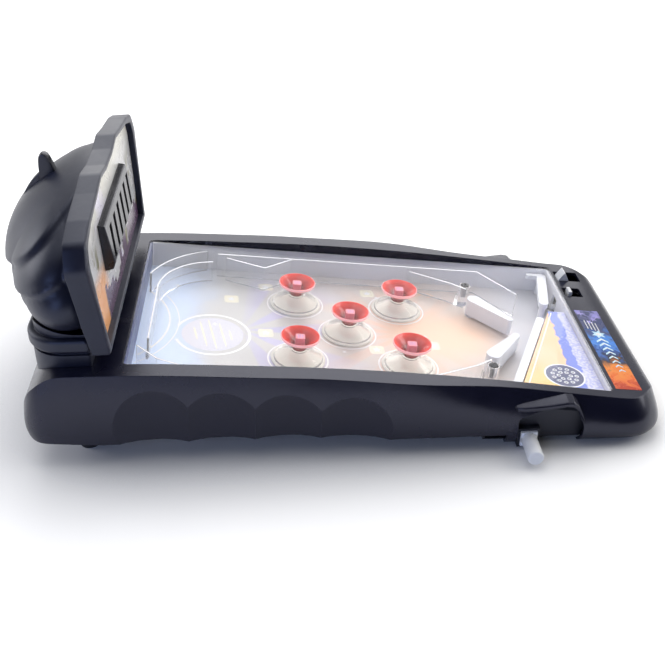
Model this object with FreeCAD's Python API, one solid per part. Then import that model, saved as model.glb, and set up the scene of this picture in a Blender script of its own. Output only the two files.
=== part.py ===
import FreeCAD, Part
import math
import os

from FreeCAD import Matrix, Placement, Rotation, Vector

# Millimetres. +X points towards the player, +Y to the player's right, +Z up.
# The origin is on the floor, under the middle of the whole game: pieces are drawn in a frame
# whose origin lies MIDDLE_X behind it, and moved when they are written.
MIDDLE_X = 6.57

# Cabinet
REAR_X = -198.5            # rear end of the cabinet
FRONT_X = 224.0            # front lip of the cabinet
SIDE_HALF = 105.5          # half the width over the bulging sides
REAR_CORNER = 16.0
FRONT_CORNER = 29.5
REAR_ROUND = 30.0          # length over which the rear deck rounds down
WALL = 2.5
SKIRT_STEP_X = 113.8       # the skirt reaches lower in front of this line
SKIRT_LOW = 2.5
CAVITY_FOOT = 10.0         # the cavity runs this far past the lower edge
PAN_X = 100.0              # the bottom cover drops to its lower level in front of this line
PAN_Z = 2.8
PAN_TOP = PAN_Z + 2.0

# Playfield opening, along the slope of the table
WINDOW_X = -132.5
WINDOW_Z = 67.0
SLOPE = 6.22
WINDOW_LENGTH = 321.9
WINDOW_HALF = 87.6
RAIL_ARCH = 5.8            # rise of the side rails above the ends of the opening
PLAYFIELD = -21.5          # height of the playing surface below the opening
COVER = 1.2

# Finger scallops
SCALLOP_FIRST_X = -114.3
SCALLOP_PITCH = 42.3
SCALLOP_TOP = 61.5
SCALLOP_FALL = 3.95        # each scallop sits this much lower than the one behind it
SCALLOP_COUNT = 4

# Bumpers
BUMPER_PLACES = ((114.4, -38.2), (114.4, 38.2), (151.9, 0.0), (192.6, -39.0), (192.6, 39.0))
CAP_R = 13.8
BASE_R = 19.0

# Flippers
FLIPPER_U = 252.0
FLIPPER_V = 38.5
FLIPPER_REACH = 35.0
FLIPPER_REST = 39.0        # angle of the blade forward of straight across
FLIPPER_LOW = -19.5
FLIPPER_TOP = -7.0
SHAFT_R = 3.0
RUNNING = 0.08             # radial play of shafts and plungers
CRANK_R = 7.5
CRANK_BACK = 25.0
CRANK_LOW = -33.0
CRANK_TOP = -29.0

# Flipper buttons
BUTTON_X = 129.0
BUTTON_Z = 8.1
PEG_R = 5.3
PEG_END = 125.5
SHANK_Y = 104.8            # outer end of the button's square shank
SHANK = 11.0
BRACKET_Y = 98.3           # outer face of the plate that the button runs in
SHANK_STEP_Y = 97.0        # inside this the shank is lower, to pass under the playfield
SHANK_STEP_Z = 12.5
SHOULDER_Y = 94.6
STOP_Y = 62.0              # wall that the button's spring pushes against
PUSHER_Y = 44.5
PUSH_R = 1.9

# Launcher and ball
BALL_R = 4.75
BALL_PLACE = (312.5, 51.4)
LAUNCH_SLOT = (324.0, 343.5, 66.5, 81.5)
SWITCH_SLOT = (324.0, 338.5, 41.0, 54.5)

# Head
HEAD_X = -136.0            # foot of the head's front face
HEAD_Z = 82.4
HEAD_LEAN = 2.7
FRAME_DEPTH = 18.0
OPENING_RIM = 5.0
RECESS = 6.0

Z_AXIS = Vector(0, 0, 1)
os.makedirs("parts", exist_ok=True)


def save(name, shape):
    """Write one named piece of the game."""
    piece = shape.copy()
    piece.translate(Vector(-MIDDLE_X, 0, 0))
    piece.exportStep(f"parts/{name}.step")


def block(x0, x1, y0, y1, z0, z1):
    return Part.makeBox(x1 - x0, y1 - y0, z1 - z0, Vector(x0, y0, z0))


def rod(radius, start, end):
    return Part.makeCylinder(radius, (end - start).Length, start, end - start)


def outline(corners, place):
    """Closed wire through (a, b, radius) corners, each with its tangent arc; place puts (a, b) in space."""
    count = len(corners)
    entries, middles, exits = [], [], []
    for i, (a, b, radius) in enumerate(corners):
        here = Vector(a, b, 0)
        back = (Vector(*corners[i - 1][:2], 0) - here).normalize()
        ahead = (Vector(*corners[(i + 1) % count][:2], 0) - here).normalize()
        half = back.getAngle(ahead) / 2
        entries.append(here + back * (radius / math.tan(half)))
        exits.append(here + ahead * (radius / math.tan(half)))
        bisector = (back + ahead).normalize() if half < 1.5707 else back
        middles.append(here + bisector * (radius / math.sin(half) - radius))
    edges = []
    for i in range(count):
        if corners[i][2]:
            arc = Part.Arc(place(entries[i]), place(middles[i]), place(exits[i]))
            edges.append(arc.toShape())
        following = entries[(i + 1) % count]
        if (exits[i] - following).Length > 1e-5:
            edges.append(Part.LineSegment(place(exits[i]), place(following)).toShape())
    return Part.Wire(edges)


def plan(corners, low, high):
    """Upright plate with the given outline seen from above."""
    wire = outline(corners, lambda p: Vector(p.x, p.y, low))
    return Part.Face(wire).extrude(Vector(0, 0, high - low))


def profile(corners, y0, y1):
    """Solid with the given outline seen from the side, running across the game."""
    wire = outline(corners, lambda p: Vector(p.x, y0, p.y))
    return Part.Face(wire).extrude(Vector(0, y1 - y0, 0))


def turned(corners, centre):
    """Body of revolution about an upright axis, from (radius, height) corners."""
    wire = outline(corners, lambda p: Vector(centre[0] + p.x, centre[1], p.y))
    return Part.Face(wire).revolve(Vector(centre[0], centre[1], 0), Z_AXIS, 360)


def capsule(start, end, r_start, r_end, low, high):
    """Plate between two round ends of different radii, joined by their common tangents."""
    along = end - start
    lean = math.asin((r_start - r_end) / along.Length)
    heading = math.atan2(along.y, along.x)
    points = []
    for centre, radius in ((start, r_start), (end, r_end)):
        for side in (1, -1):
            angle = heading + side * (math.pi / 2 - lean)
            points.append(centre + Vector(math.cos(angle), math.sin(angle), 0) * radius)
    wire = Part.makePolygon([points[0], points[1], points[3], points[2], points[0]])
    web = Part.Face(wire).extrude(Vector(0, 0, high - low))
    web.translate(Vector(0, 0, low))
    ends = [Part.makeCylinder(radius, high - low, centre + Vector(0, 0, low))
            for centre, radius in ((start, r_start), (end, r_end))]
    return web.fuse(ends).removeSplitter()


def wall(points, thickness, low, high):
    """Thin upright wall along a chain of points, with round ends and corners."""
    spans = [capsule(a, b, thickness / 2, thickness / 2, low, high)
             for a, b in zip(points, points[1:])]
    return spans[0].fuse(spans[1:]).removeSplitter() if spans[1:] else spans[0]


def mirrored(shape):
    return shape.mirror(Vector(0, 0, 0), Vector(0, 1, 0))


def on_table(shape):
    """Move a shape from the table's own frame, flat with its zero at the rear of the opening, to its place."""
    slope = Placement(Vector(WINDOW_X, 0, WINDOW_Z), Rotation(Vector(0, 1, 0), SLOPE))
    laid = shape.copy()
    laid.Placement = slope.multiply(laid.Placement)
    return laid


def ease(x, start, end):
    """Smooth step from 0 to 1 between two places."""
    t = min(max((x - start) / (end - start), 0.0), 1.0)
    return t * t * (3 - 2 * t)


def quarter(distance, reach):
    """Height of a quarter circle of unit radius, its run stretched to reach."""
    t = min(max(distance / reach, 0.0), 1.0)
    return math.sqrt(1 - (1 - t) ** 2)


def side_half(x):
    """Half width over the sides, rounded in plan at the rear and front corners."""
    rear = REAR_CORNER * (1 - quarter(x - REAR_X, REAR_CORNER))
    front = FRONT_CORNER * (1 - quarter(FRONT_X - x, FRONT_CORNER))
    return SIDE_HALF - rear - front


def rail_half(x):
    """Half width to the crisp outer edge of the top rails."""
    inset = 4.5 + 6.0 * ease(x, 52, 120) + 12.0 * ease(x, 198, 232)
    return side_half(x) - inset


def top_z(x):
    """Height of the rails: rounded rear deck, arch beside the opening, straight apron and rounded lip."""
    run = x - WINDOW_X
    if run < 0:
        return 31 + 36 * quarter(x - REAR_X, REAR_ROUND)
    level = WINDOW_Z - run * math.tan(math.radians(SLOPE))
    length = WINDOW_LENGTH * math.cos(math.radians(SLOPE))
    if run < length:
        level += RAIL_ARCH * math.sin(math.pi * run / length)
    return 13 + (level - 13) * quarter(FRONT_X - x, 12.0)


def under_z(x):
    """Lowest line of the sides, lifted at both ends."""
    rear = 25.5 * (1 - quarter(x - REAR_X, REAR_ROUND))
    front = 6.0 * (1 - quarter(FRONT_X - x, 12.0))
    return SKIRT_LOW + rear + front


def side_poles(x):
    """Poles of the curve of the right side from the rail's outer edge down to the lower edge, which it tucks in to."""
    top, low = top_z(x), under_z(x)
    rail, side = rail_half(x), side_half(x)
    widest = (0.45 + 0.2 * ease(x, 70, 150)) * (top - low)
    poles = [Vector(x, rail, top), Vector(x, rail + 0.7 * (side - rail), top - 0.4 * widest),
             Vector(x, side + 1.0, top - widest), Vector(x, side + 0.6, top - 0.86 * (top - low)),
             Vector(x, side - 6.0, low)]
    return poles


def spline(poles):
    curve = Part.BSplineCurve()
    curve.buildFromPoles(poles, False, 3)
    return curve


def cabinet_section(x):
    """Closed section across the cabinet: straight top, bulging sides, straight bottom."""
    poles = side_poles(x)
    right = spline(poles)
    left = spline([Vector(p.x, -p.y, p.z) for p in poles[::-1]])
    bottom = Part.LineSegment(right.EndPoint, left.StartPoint)
    top = Part.LineSegment(left.EndPoint, right.StartPoint)
    return Part.Wire([curve.toShape() for curve in (right, bottom, left, top)])


def cabinet_body():
    rear = [REAR_X + d for d in (0, 1.2, 4, 9, 16, 23, 30)]
    middle = [-150, -122, -78, -30, 20, 62, 92, 120, 148, 174]
    front = [FRONT_X - d for d in (32, 21, 14, 8, 4, 1.2, 0)]
    return Part.makeLoft([cabinet_section(x) for x in rear + middle + front], True, False)


def cavity(gap):
    """Inside of the cabinet as flats that follow its outside, smaller by gap, open below."""
    sections = []
    for x in (REAR_X + WALL + gap, -191, -182, -168, -135, -60, 10, 80, 120, 160, 190, 208, 216, FRONT_X - WALL - gap):
        curve = spline(side_poles(x))
        right = [curve.value(t) for t in (0, 0.3, 0.6, 0.85, 1)]
        right = [p - Vector(0, WALL + gap, 0) for p in right]
        right[0].z -= WALL + gap
        right[1].z -= 0.5 * WALL
        right[-1] += Vector(0, -CAVITY_FOOT, -CAVITY_FOOT)
        left = [Vector(p.x, -p.y, p.z) for p in right[::-1]]
        sections.append(Part.makePolygon(right + left + right[:1]))
    inside = Part.makeLoft(sections, True, True)
    pads = [block(SCALLOP_FIRST_X - 30, SCALLOP_FIRST_X + 3 * SCALLOP_PITCH + 30, SIDE_HALF - 8 - gap, 130, -20, 70)]
    return inside.cut(both(pads))


def ellipsoid(centre, radii):
    stretch = Matrix()
    stretch.scale(*radii)
    ball = Part.makeSphere(1.0).transformGeometry(stretch)
    ball.translate(centre)
    return ball


def scallops():
    """Egg-shaped finger grips along the near side."""
    half_width, half_height, depth, bulk = 24.5, 35.0, 5.0, 20.0
    spread = math.sqrt(1 - ((bulk - depth) / bulk) ** 2)
    eggs = []
    for i in range(SCALLOP_COUNT):
        x = SCALLOP_FIRST_X + i * SCALLOP_PITCH
        z = SCALLOP_TOP - i * SCALLOP_FALL - half_height
        radii = (half_width / spread, bulk, half_height / spread)
        eggs.append(ellipsoid(Vector(x, -SIDE_HALF - bulk + depth + 0.6, z), radii))
    return eggs


def both(shapes):
    return shapes + [mirrored(s) for s in shapes]


def table_plate(u0, u1, half, low, high, radius):
    corners = [(u0, -half, radius), (u1, -half, radius), (u1, half, radius), (u0, half, radius)]
    return plan(corners, low, high)


def upper_housing():
    skirt = table_plate(-WALL, WINDOW_LENGTH + WALL, WINDOW_HALF + WALL, PLAYFIELD - 3, 12, 4)
    shell = BODY.cut(cavity(0)).fuse(on_table(skirt).common(BODY))
    window = on_table(table_plate(0, WINDOW_LENGTH, WINDOW_HALF, -60, 30, 3))
    slots = [on_table(plan([(u0, v0, 1), (u1, v0, 1), (u1, v1, 1), (u0, v1, 1)], -20, 20))
             for u0, u1, v0, v1 in (LAUNCH_SLOT, SWITCH_SLOT)]
    passage = on_table(block(315, 330, BALL_PLACE[1] - 7, BALL_PLACE[1] + 7, PLAYFIELD - 4, -8))
    notches = both([button_notch()])
    return shell.cut([window, passage, skirt_line()] + slots + both(scallops()) + notches)


def skirt_line():
    """Everything below the lower edge of the sides: high behind, low in front of the step."""
    corners = [(-240, -20, 0), (-240, 34, 0), (-199, 34, 0), (-195.5, 20.5, 7), (-150, 16.5, 40),
               (-22, 15.5, 40), (35, 12, 60), (SKIRT_STEP_X, 12.5, 0), (SKIRT_STEP_X, -20, 0)]
    return profile(corners, -140, 140)


def button_notch():
    """Recess in the near side round the flipper button, open below, under a brow that rises forward."""
    corners = [(121.3, -8, 0), (120.8, 24.5, 4), (151, 32.4, 6), (158.5, 31.5, 4), (165, 17, 8),
               (161.5, -8, 0)]
    return profile(corners, -140, -BRACKET_Y + 3.3)


BODY = cabinet_body()
INSIDE = cavity(0.3)
save("upper_housing", upper_housing())

# Playfield: clear cover, tray and the walls that guide the ball
save("playfield_cover", on_table(table_plate(0.15, WINDOW_LENGTH - 0.15, WINDOW_HALF - 0.15, -0.1 - COVER, -0.1, 2.9)))

TRAY_WALL = 1.6
TRAY_HALF = WINDOW_HALF - 0.4
FLOOR_T = 2.0


def playfield_tray():
    tray = table_plate(0.4, WINDOW_LENGTH - 0.4, TRAY_HALF, PLAYFIELD - FLOOR_T, -1.5, 3)
    inside = table_plate(0.4 + TRAY_WALL, WINDOW_LENGTH - 0.4 - TRAY_WALL, TRAY_HALF - TRAY_WALL, PLAYFIELD, 2, 1.5)
    bosses = [Part.makeCylinder(5, 6, Vector(FLIPPER_U, v, PLAYFIELD - 5)) for v in (-FLIPPER_V, FLIPPER_V)]
    tray = tray.cut(inside).fuse(bosses)
    shafts = [Part.makeCylinder(SHAFT_R + RUNNING, 12, Vector(FLIPPER_U, v, PLAYFIELD - 8))
              for v in (-FLIPPER_V, FLIPPER_V)]
    lights = [Part.makeCylinder(4, 8, Vector(u, v, PLAYFIELD - 4)) for u, v in BUMPER_PLACES]
    plunger = block(315, 330, BALL_PLACE[1] - 5.5, BALL_PLACE[1] + 5.5, PLAYFIELD + 0.5, -8)
    return tray.cut(shafts + lights + [plunger])


def arc_wall(start, middle, end, thickness, low, high):
    """Thin upright wall along a circular arc through three places."""
    centre = Part.Arc(start, middle, end).toShape().Curve.Center
    sides = []
    for shift in (-thickness / 2, thickness / 2):
        sides.append([centre + (p - centre) * (1 + shift / (p - centre).Length) for p in (start, middle, end)])
    near, far = sides
    edges = [Part.Arc(*near).toShape(), Part.LineSegment(near[2], far[2]).toShape(),
             Part.Arc(*far[::-1]).toShape(), Part.LineSegment(far[0], near[0]).toShape()]
    ribbon = Part.Face(Part.Wire(edges)).extrude(Vector(0, 0, high - low))
    ribbon.translate(Vector(0, 0, low))
    return ribbon


ON_FLOOR = PLAYFIELD + 0.1
WALL_TOP = -5.0
CLEAR_T = 1.6

save("playfield_tray", on_table(playfield_tray()))

LANE_V = 75.2
lane = wall([Vector(54, LANE_V, 0), Vector(260, LANE_V, 0), Vector(285, 41.8, 0)], CLEAR_T, ON_FLOOR, -2.2)
zigzag = wall([Vector(61, 69.4, 0), Vector(90, 57.3, 0), Vector(112, LANE_V - 0.6, 0)], CLEAR_T, ON_FLOOR, -2.2)
save("lane_wall", on_table(lane.fuse(zigzag)))

arch = arc_wall(Vector(12, 25, 0), Vector(24, 53, 0), Vector(50, 67, 0), CLEAR_T, ON_FLOOR, WALL_TOP)
arch = arch.fuse(wall([Vector(12, -48, 0), Vector(12, 25, 0)], CLEAR_T, ON_FLOOR, WALL_TOP))
save("rear_arch", on_table(arch.removeSplitter()))
corner = arc_wall(Vector(5, 42, 0), Vector(19, 66, 0), Vector(45, 84, 0), CLEAR_T, ON_FLOOR, WALL_TOP)
save("rear_corner_guide", on_table(corner))
deflector = wall([Vector(6, -58, 0), Vector(20, -72, 0), Vector(40, -80, 0), Vector(58, -84, 0)], CLEAR_T, ON_FLOOR, WALL_TOP)
save("rear_deflector", on_table(deflector))


def inlane_guide():
    """Clear wall that leads the ball on to the left flipper, with the boss that its screw holds."""
    guide = wall([Vector(205, -73.4, 0), Vector(236, -58, 0), Vector(247, -50, 0)], CLEAR_T, ON_FLOOR, WALL_TOP)
    boss = Part.makeCylinder(4.5, WALL_TOP - 0.4 - ON_FLOOR, Vector(*SCREW_PLACE, ON_FLOOR))
    web = capsule(Vector(*SCREW_PLACE, 0), Vector(242, -53.5, 0), 2.5, 1.5, ON_FLOOR, -12)
    hole = Part.makeCylinder(1.55, 12, Vector(*SCREW_PLACE, -15))
    return guide.fuse([boss, web]).cut(hole)


def guide_screw():
    head = turned([(0, -5.35, 0), (3.3, -5.35, 0), (2.8, -4.5, 0), (0, -4.2, 0)], SCREW_PLACE)
    shank = Part.makeCylinder(1.5, 9, Vector(*SCREW_PLACE, -14.35))
    cross = [block(-2, 2, -0.35, 0.35, -5, -4), block(-0.35, 0.35, -2, 2, -5, -4)]
    for bar in cross:
        bar.translate(Vector(*SCREW_PLACE, 0))
    return head.fuse(shank).cut(cross)


SCREW_PLACE = (247.5, -56.6)
save("left_inlane_guide", on_table(inlane_guide()))
save("right_inlane_guide", mirrored(on_table(inlane_guide())))
save("guide_screws", Part.makeCompound(both([on_table(guide_screw())])))

# Front of the playfield: trough bar, raised panel with the speaker under it
save("trough_bar", on_table(capsule(Vector(257.4, -82.2, 0), Vector(297, 10.4, 0), 3, 3, ON_FLOOR, WALL_TOP)))

SPEAKER_PLACE = (296.0, -64.0)
PANEL_TOP = -5.5


def front_panel():
    """Raised panel beside the trough bar, open below, with the speaker's holes."""
    corners = [(260.2, -85.2, 0), (319.6, -85.2, 1.8), (319.6, 24, 0), (306.8, 24, 0)]
    panel = plan(corners, ON_FLOOR, PANEL_TOP)
    inner = Part.Face(outline(corners, lambda p: Vector(p.x, p.y, ON_FLOOR - 1))).makeOffset2D(-1.5)
    panel = panel.cut(inner.extrude(Vector(0, 0, PANEL_TOP - 1.5 - ON_FLOOR + 1)))
    holes = []
    for ring, count in ((4.2, 6), (8.4, 11)):
        for i in range(count):
            angle = 2 * math.pi * i / count
            place = Vector(SPEAKER_PLACE[0] + ring * math.cos(angle), SPEAKER_PLACE[1] + ring * math.sin(angle), -10)
            holes.append(Part.makeCylinder(0.9, 8, place))
    return panel.cut(holes)


save("front_panel", on_table(front_panel()))
speaker = turned([(0, -17.5, 0), (6, -17.5, 0), (6, -12.5, 0), (13, -10, 0), (13, -7.2, 0), (11.5, -7.2, 0), (0, -11, 0)],
                 SPEAKER_PLACE)
save("speaker", on_table(speaker))

# Bumpers
for i, place in enumerate(BUMPER_PLACES, 1):
    ring = turned([(0, ON_FLOOR, 0), (BASE_R, ON_FLOOR, 0), (BASE_R, -20.3, 0), (BASE_R - 1.2, -19.7, 0),
                   (0, -19.7, 0)], place)
    skirt = turned([(15.6, -19.6, 0), (17.4, -19.6, 0), (16.6, -18, 0), (11, -15, 0), (6.8, -12.7, 0),
                    (5.4, -12.7, 0), (5.4, -13.9, 0)], place)
    cap = turned([(0, -12.6, 0), (5, -12.6, 0), (6, -9, 0), (8.6, -6.8, 0), (12.8, -4.6, 0), (CAP_R, -3, 0),
                  (CAP_R, -2.2, 0), (13.2, -1.7, 0), (0, -1.7, 0)], place)
    save(f"bumper_{i}_base", on_table(ring))
    save(f"bumper_{i}_skirt", on_table(skirt))
    save(f"bumper_{i}_cap", on_table(cap))
lamps = [Part.makeCylinder(2.5, 6, Vector(u, v, PLAYFIELD - 6.2)) for u, v in BUMPER_PLACES]
save("bumper_lamps", on_table(Part.makeCompound(lamps)))


# Flippers, their cranks, and the buttons that push them
def flipper():
    """Left flipper at rest: tapered blade on a shaft that runs down through the tray."""
    pivot = Vector(FLIPPER_U, -FLIPPER_V, 0)
    heading = math.radians(90 - FLIPPER_REST)
    tip = pivot + Vector(math.cos(heading), math.sin(heading), 0) * FLIPPER_REACH
    blade = capsule(pivot, tip, 5.5, 2.6, FLIPPER_LOW, FLIPPER_TOP)
    shaft = Part.makeCylinder(SHAFT_R, FLIPPER_LOW - CRANK_LOW, pivot + Vector(0, 0, CRANK_LOW))
    return on_table(blade.fuse(shaft))


def crank():
    """Arm under the tray, pressed on the left flipper's shaft, with the pin that the button pushes."""
    pivot = Vector(FLIPPER_U, -FLIPPER_V, 0)
    heading = math.radians(-CRANK_BACK)
    pin = pivot + Vector(math.cos(heading), math.sin(heading), 0) * CRANK_R
    height = CRANK_TOP - CRANK_LOW
    boss = Part.makeCylinder(4.6, height, pivot + Vector(0, 0, CRANK_LOW))
    arm = capsule(pivot, pin, 2, 2, CRANK_LOW, CRANK_TOP)
    end = Part.makeCylinder(2.5, height, pin + Vector(0, 0, CRANK_LOW))
    bore = Part.makeCylinder(SHAFT_R + 0.01, height + 2, pivot + Vector(0, 0, CRANK_LOW - 1))
    return on_table(boss.fuse([arm, end]).cut(bore))


def square_bar(side, y0, y1):
    return block(BUTTON_X - side / 2, BUTTON_X + side / 2, y0, y1, BUTTON_Z - side / 2, BUTTON_Z + side / 2)


def round_bar(radius, y0, y1):
    return rod(radius, Vector(BUTTON_X, y0, BUTTON_Z), Vector(BUTTON_X, y1, BUTTON_Z))


def button():
    """Left flipper button: round peg, square shank, shoulder, push rod and the bar that meets the crank."""
    end = Vector(BUTTON_X, -PEG_END, BUTTON_Z)
    peg = Part.makeCylinder(PEG_R, PEG_END - SHANK_Y, end, Vector(0, 1, 0))
    rim = [e for e in peg.Edges if e.BoundBox.YMax < -PEG_END + 0.01]
    peg = peg.makeFillet(1.3, rim)
    low = block(BUTTON_X - 9, BUTTON_X + 9, -SHANK_STEP_Y, -STOP_Y, SHANK_STEP_Z, 30)
    shank = square_bar(SHANK, -SHANK_Y, -SHOULDER_Y).cut(low)
    shoulder = block(BUTTON_X - 7, BUTTON_X + 7, -SHOULDER_Y, -SHOULDER_Y + 1.8, PAN_TOP + 0.4, SHANK_STEP_Z)
    push_rod = round_bar(PUSH_R, -SHOULDER_Y, -PUSHER_Y - 2)
    pusher = block(BUTTON_X - 8.5, BUTTON_X + 4, -PUSHER_Y - 7.5, -PUSHER_Y, BUTTON_Z - 2.5, BUTTON_Z + 2.5)
    return peg.fuse([shank, shoulder, push_rod, pusher]).removeSplitter()


def button_bracket():
    """Dark bracket that closes the button's notch and guides the shank and the push rod."""
    corners = [(120.5, PAN_TOP + 0.3, 0), (118, 26.5, 4), (150.5, 35.5, 6), (160.5, 34.5, 4), (168, 17, 6),
               (164.5, PAN_TOP + 0.3, 0)]
    plate = profile(corners, -BRACKET_Y, -BRACKET_Y + 3.4).common(INSIDE)
    boss = square_bar(14.5, -103, -BRACKET_Y + 1)
    rails = [block(x, x + 1.8, -BRACKET_Y + 1, -STOP_Y + 2, PAN_TOP + 0.2, PAN_TOP + 4.5)
             for x in (BUTTON_X - 9.2, BUTTON_X + 7.4)]
    stop = block(BUTTON_X - 9.2, BUTTON_X + 9.2, -STOP_Y, -STOP_Y + 2, PAN_TOP + 0.2, BUTTON_Z + 5.2)
    bracket = plate.fuse([boss, stop] + rails)
    return bracket.cut([square_bar(SHANK + 2 * RUNNING, -110, -90), round_bar(PUSH_R + RUNNING, -70, -50)])


def button_spring():
    return round_bar(3.1, -SHOULDER_Y + 1.85, -STOP_Y - 0.05).cut(round_bar(2.2, -95, -60))


for side, place in (("left", lambda s: s), ("right", mirrored)):
    save(f"{side}_flipper", place(flipper()))
    save(f"{side}_crank", place(crank()))
    save(f"{side}_button", place(button()))
    save(f"{side}_button_bracket", place(button_bracket()))
    save(f"{side}_button_spring", place(button_spring()))

# Launcher, ball and power switch
LAUNCH_V = BALL_PLACE[1]
BALL_H = PLAYFIELD + BALL_R + 0.15
LAUNCH_STOP_X = 212.0


def launcher():
    """Lever with a wedge grip above the apron and a plunger that strikes the ball."""
    corners = [(326, -20, 0), (326, -5, 0), (324.9, -4, 0), (324.9, -1, 0), (329.4, 7, 0.8), (334.2, -1, 0), (334.2, -4, 0),
               (333, -5, 0), (333, -20, 0)]
    grip = profile(corners, 67.2, 77.2)
    plate = block(326, 333, LAUNCH_V - 4, 70, -20, -13)
    plunger = rod(2.4, Vector(317.6, LAUNCH_V, BALL_H), Vector(330, LAUNCH_V, BALL_H))
    return on_table(grip.fuse([plate, plunger]).removeSplitter())


save("launcher", launcher())
spring = Part.makeCylinder(3.2, 14.6, Vector(333.05, LAUNCH_V, BALL_H), Vector(1, 0, 0))
spring = spring.cut(Part.makeCylinder(2.4, 18, Vector(332, LAUNCH_V, BALL_H), Vector(1, 0, 0)))
save("launcher_spring", on_table(spring))
bridge = capsule(Vector(315.6, 81.4, 0), Vector(306.5, 37, 0), 3.7, 3.7, -8.5, WALL_TOP)
leg = capsule(Vector(305, 82.6, 0), Vector(315.6, 82.6, 0), 2, 2, -8.5, WALL_TOP)
posts = [Part.makeCylinder(2.5, -8 - ON_FLOOR, Vector(u, v, ON_FLOOR)) for u, v in ((315.6, 81.4), (306.5, 37))]
save("launch_bridge", on_table(bridge.fuse([leg] + posts).removeSplitter()))
save("steel_ball", on_table(Part.makeSphere(BALL_R, Vector(*BALL_PLACE, BALL_H))))
knob = block(327.2, 329.7, 43.5, 52, -8, 2.4).fuse(block(326, 331, 42.5, 53, -8, -5))
save("switch_knob", on_table(knob))
save("switch_body", on_table(block(324.8, 341, 42, 54, -12.5, -8.3)))


# Head: front frame, picture panel, score box, domed shell, crest and neck
def on_head(shape):
    """Stand a shape on the foot of the head's front face, leaning back: +X is out of the face, +Z up it."""
    lean = Placement(Vector(HEAD_X, 0, HEAD_Z), Rotation(Vector(0, 1, 0), -HEAD_LEAN))
    stood = shape.copy()
    stood.Placement = lean.multiply(stood.Placement)
    return stood


def upright(half, back, front):
    """Plate facing the player, from the right half of its outline as (across, up, radius) corners."""
    corners = half + [(-a, b, r) for a, b, r in half[::-1]]
    wire = outline(corners, lambda p: Vector(back, p.x, p.y))
    return Part.Face(wire).extrude(Vector(front - back, 0, 0))


FRAME_EDGE = [(101, 0, 2), (117.5, 67, 9), (105, 80, 12), (88, 84.5, 20), (62, 87, 8), (52, 92, 6)]
OPENING_EDGE = [(94, 3, 2), (104, 67, 7), (98.5, 75, 7), (85, 79.5, 14), (61, 82, 8), (50, 87, 6)]
BACK_FOOT = 14.0           # depth of the frame at its foot
BACK_FULL = 30.0           # height where the frame reaches its full depth


def frame_back(gap):
    """Everything in front of the frame's back face, moved back by gap."""
    corners = [(-FRAME_DEPTH - gap, BACK_FULL, 0), (-FRAME_DEPTH - gap, 200, 0), (200, 200, 0), (200, -90, 0),
               (-BACK_FOOT - gap, -90, 0), (-BACK_FOOT - gap, 0, 0)]
    return profile(corners, -160, 160)


def head_frame():
    ring = upright(FRAME_EDGE, -FRAME_DEPTH, 0).cut(upright(OPENING_EDGE, -30, 10))
    return on_head(ring.common(frame_back(0)))


def head_lobes(grow):
    """Three tilted egg shapes whose meeting lines make the dome's creases."""
    lobes = []
    for x, z, radii, tilt in DOME_LOBES:
        centre = Vector(x, 0, z)
        lobe = ellipsoid(centre, [r + grow for r in radii])
        lobe.rotate(centre, Vector(0, 1, 0), tilt)
        lobes.append(lobe)
    return lobes[0].fuse(lobes[1:])


# Lobes of the dome: middle (x, z), radii along, across and up, and tilt
DOME_LOBES = (((-152.3), 137.7, (61.6, 105.1, 27.6), -20.4),
              ((-153.9), 108.9, (55.1, 104.2, 36.0), -6.0),
              ((-157.7), 106.9, (52.2, 98.2, 25.8), -9.7))
PANEL_BACK = -8.0

save("head_frame", head_frame())
PANEL_EDGE = [(a - 0.2, b - 0.2 if b > 10 else b + 0.2, r) for a, b, r in OPENING_EDGE]
panel_hole = block(-20, 0, -50, 50, 34, 61)
save("head_panel", on_head(upright(PANEL_EDGE, PANEL_BACK, -RECESS).cut(panel_hole)))

DOME = head_lobes(0)
dome_front = on_head(frame_back(0.05))
hollow = ellipsoid(Vector(-154, 0, 121), (51, 97, 37))
save("head_shell", DOME.cut([hollow, dome_front]))

SCORE_HALF = 52.0
SCORE_SLOTS = 6


def score_box():
    """Box of the score display: its sloping face stands off the panel and has a row of slanted slots."""
    corners = [(-5.9, 63, 0), (0, 63.6, 0.8), (3.1, 35.3, 0.8), (0.4, 32, 0), (-5.9, 32, 0)]
    box = profile(corners, -SCORE_HALF, SCORE_HALF)
    inner = profile([(-12, 61, 0), (-1.8, 61.6, 0), (1.2, 36, 0), (-1, 34, 0), (-12, 34, 0)], -48, 48)
    slots = []
    for i in range(SCORE_SLOTS):
        middle = -21 + 12.6 * i
        cut = [(middle - 1.5, 37.5, 0), (middle + 5, 37.5, 0), (middle + 1.5, 57, 0), (middle - 5, 57, 0)]
        wire = outline(cut, lambda p: Vector(-4, p.x, p.y))
        slots.append(Part.Face(wire).extrude(Vector(12, 0, 0)))
    return on_head(box.cut([inner] + slots))


save("score_box", score_box())
board = block(-16, -14.4, -60, 60, 26, 70)
save("score_board", on_head(board))
lamps = [rod(2.5, Vector(-14.3, -21 + 12.6 * i, 47), Vector(-8.5, -21 + 12.6 * i, 47)) for i in range(SCORE_SLOTS)]
save("score_lamps", on_head(Part.makeCompound(lamps)))


def head_crest():
    """Horn on top of the dome, with the low crest that runs down its back."""
    horn = profile([(-186, 150, 0), (-185.4, 172, 3), (-181.5, 175.4, 3), (-177.5, 172.5, 3), (-172.8, 160, 2),
                    (-170, 150, 0)], -3.6, 3.6)
    crest = profile([(-184, 150, 0), (-184, 161.5, 0), (-190, 157.5, 4), (-203, 141, 2), (-200, 136, 0)], -2.6, 2.6)
    return horn.fuse(crest).cut(head_lobes(0.05))


save("head_crest", head_crest())


def neck_plate(rear, half, radius, low, high):
    front = -151.0
    corners = [(rear, -half, radius), (front, -half, 2), (front, half, 2), (rear, half, radius)]
    return plan(corners, low, high)


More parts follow.
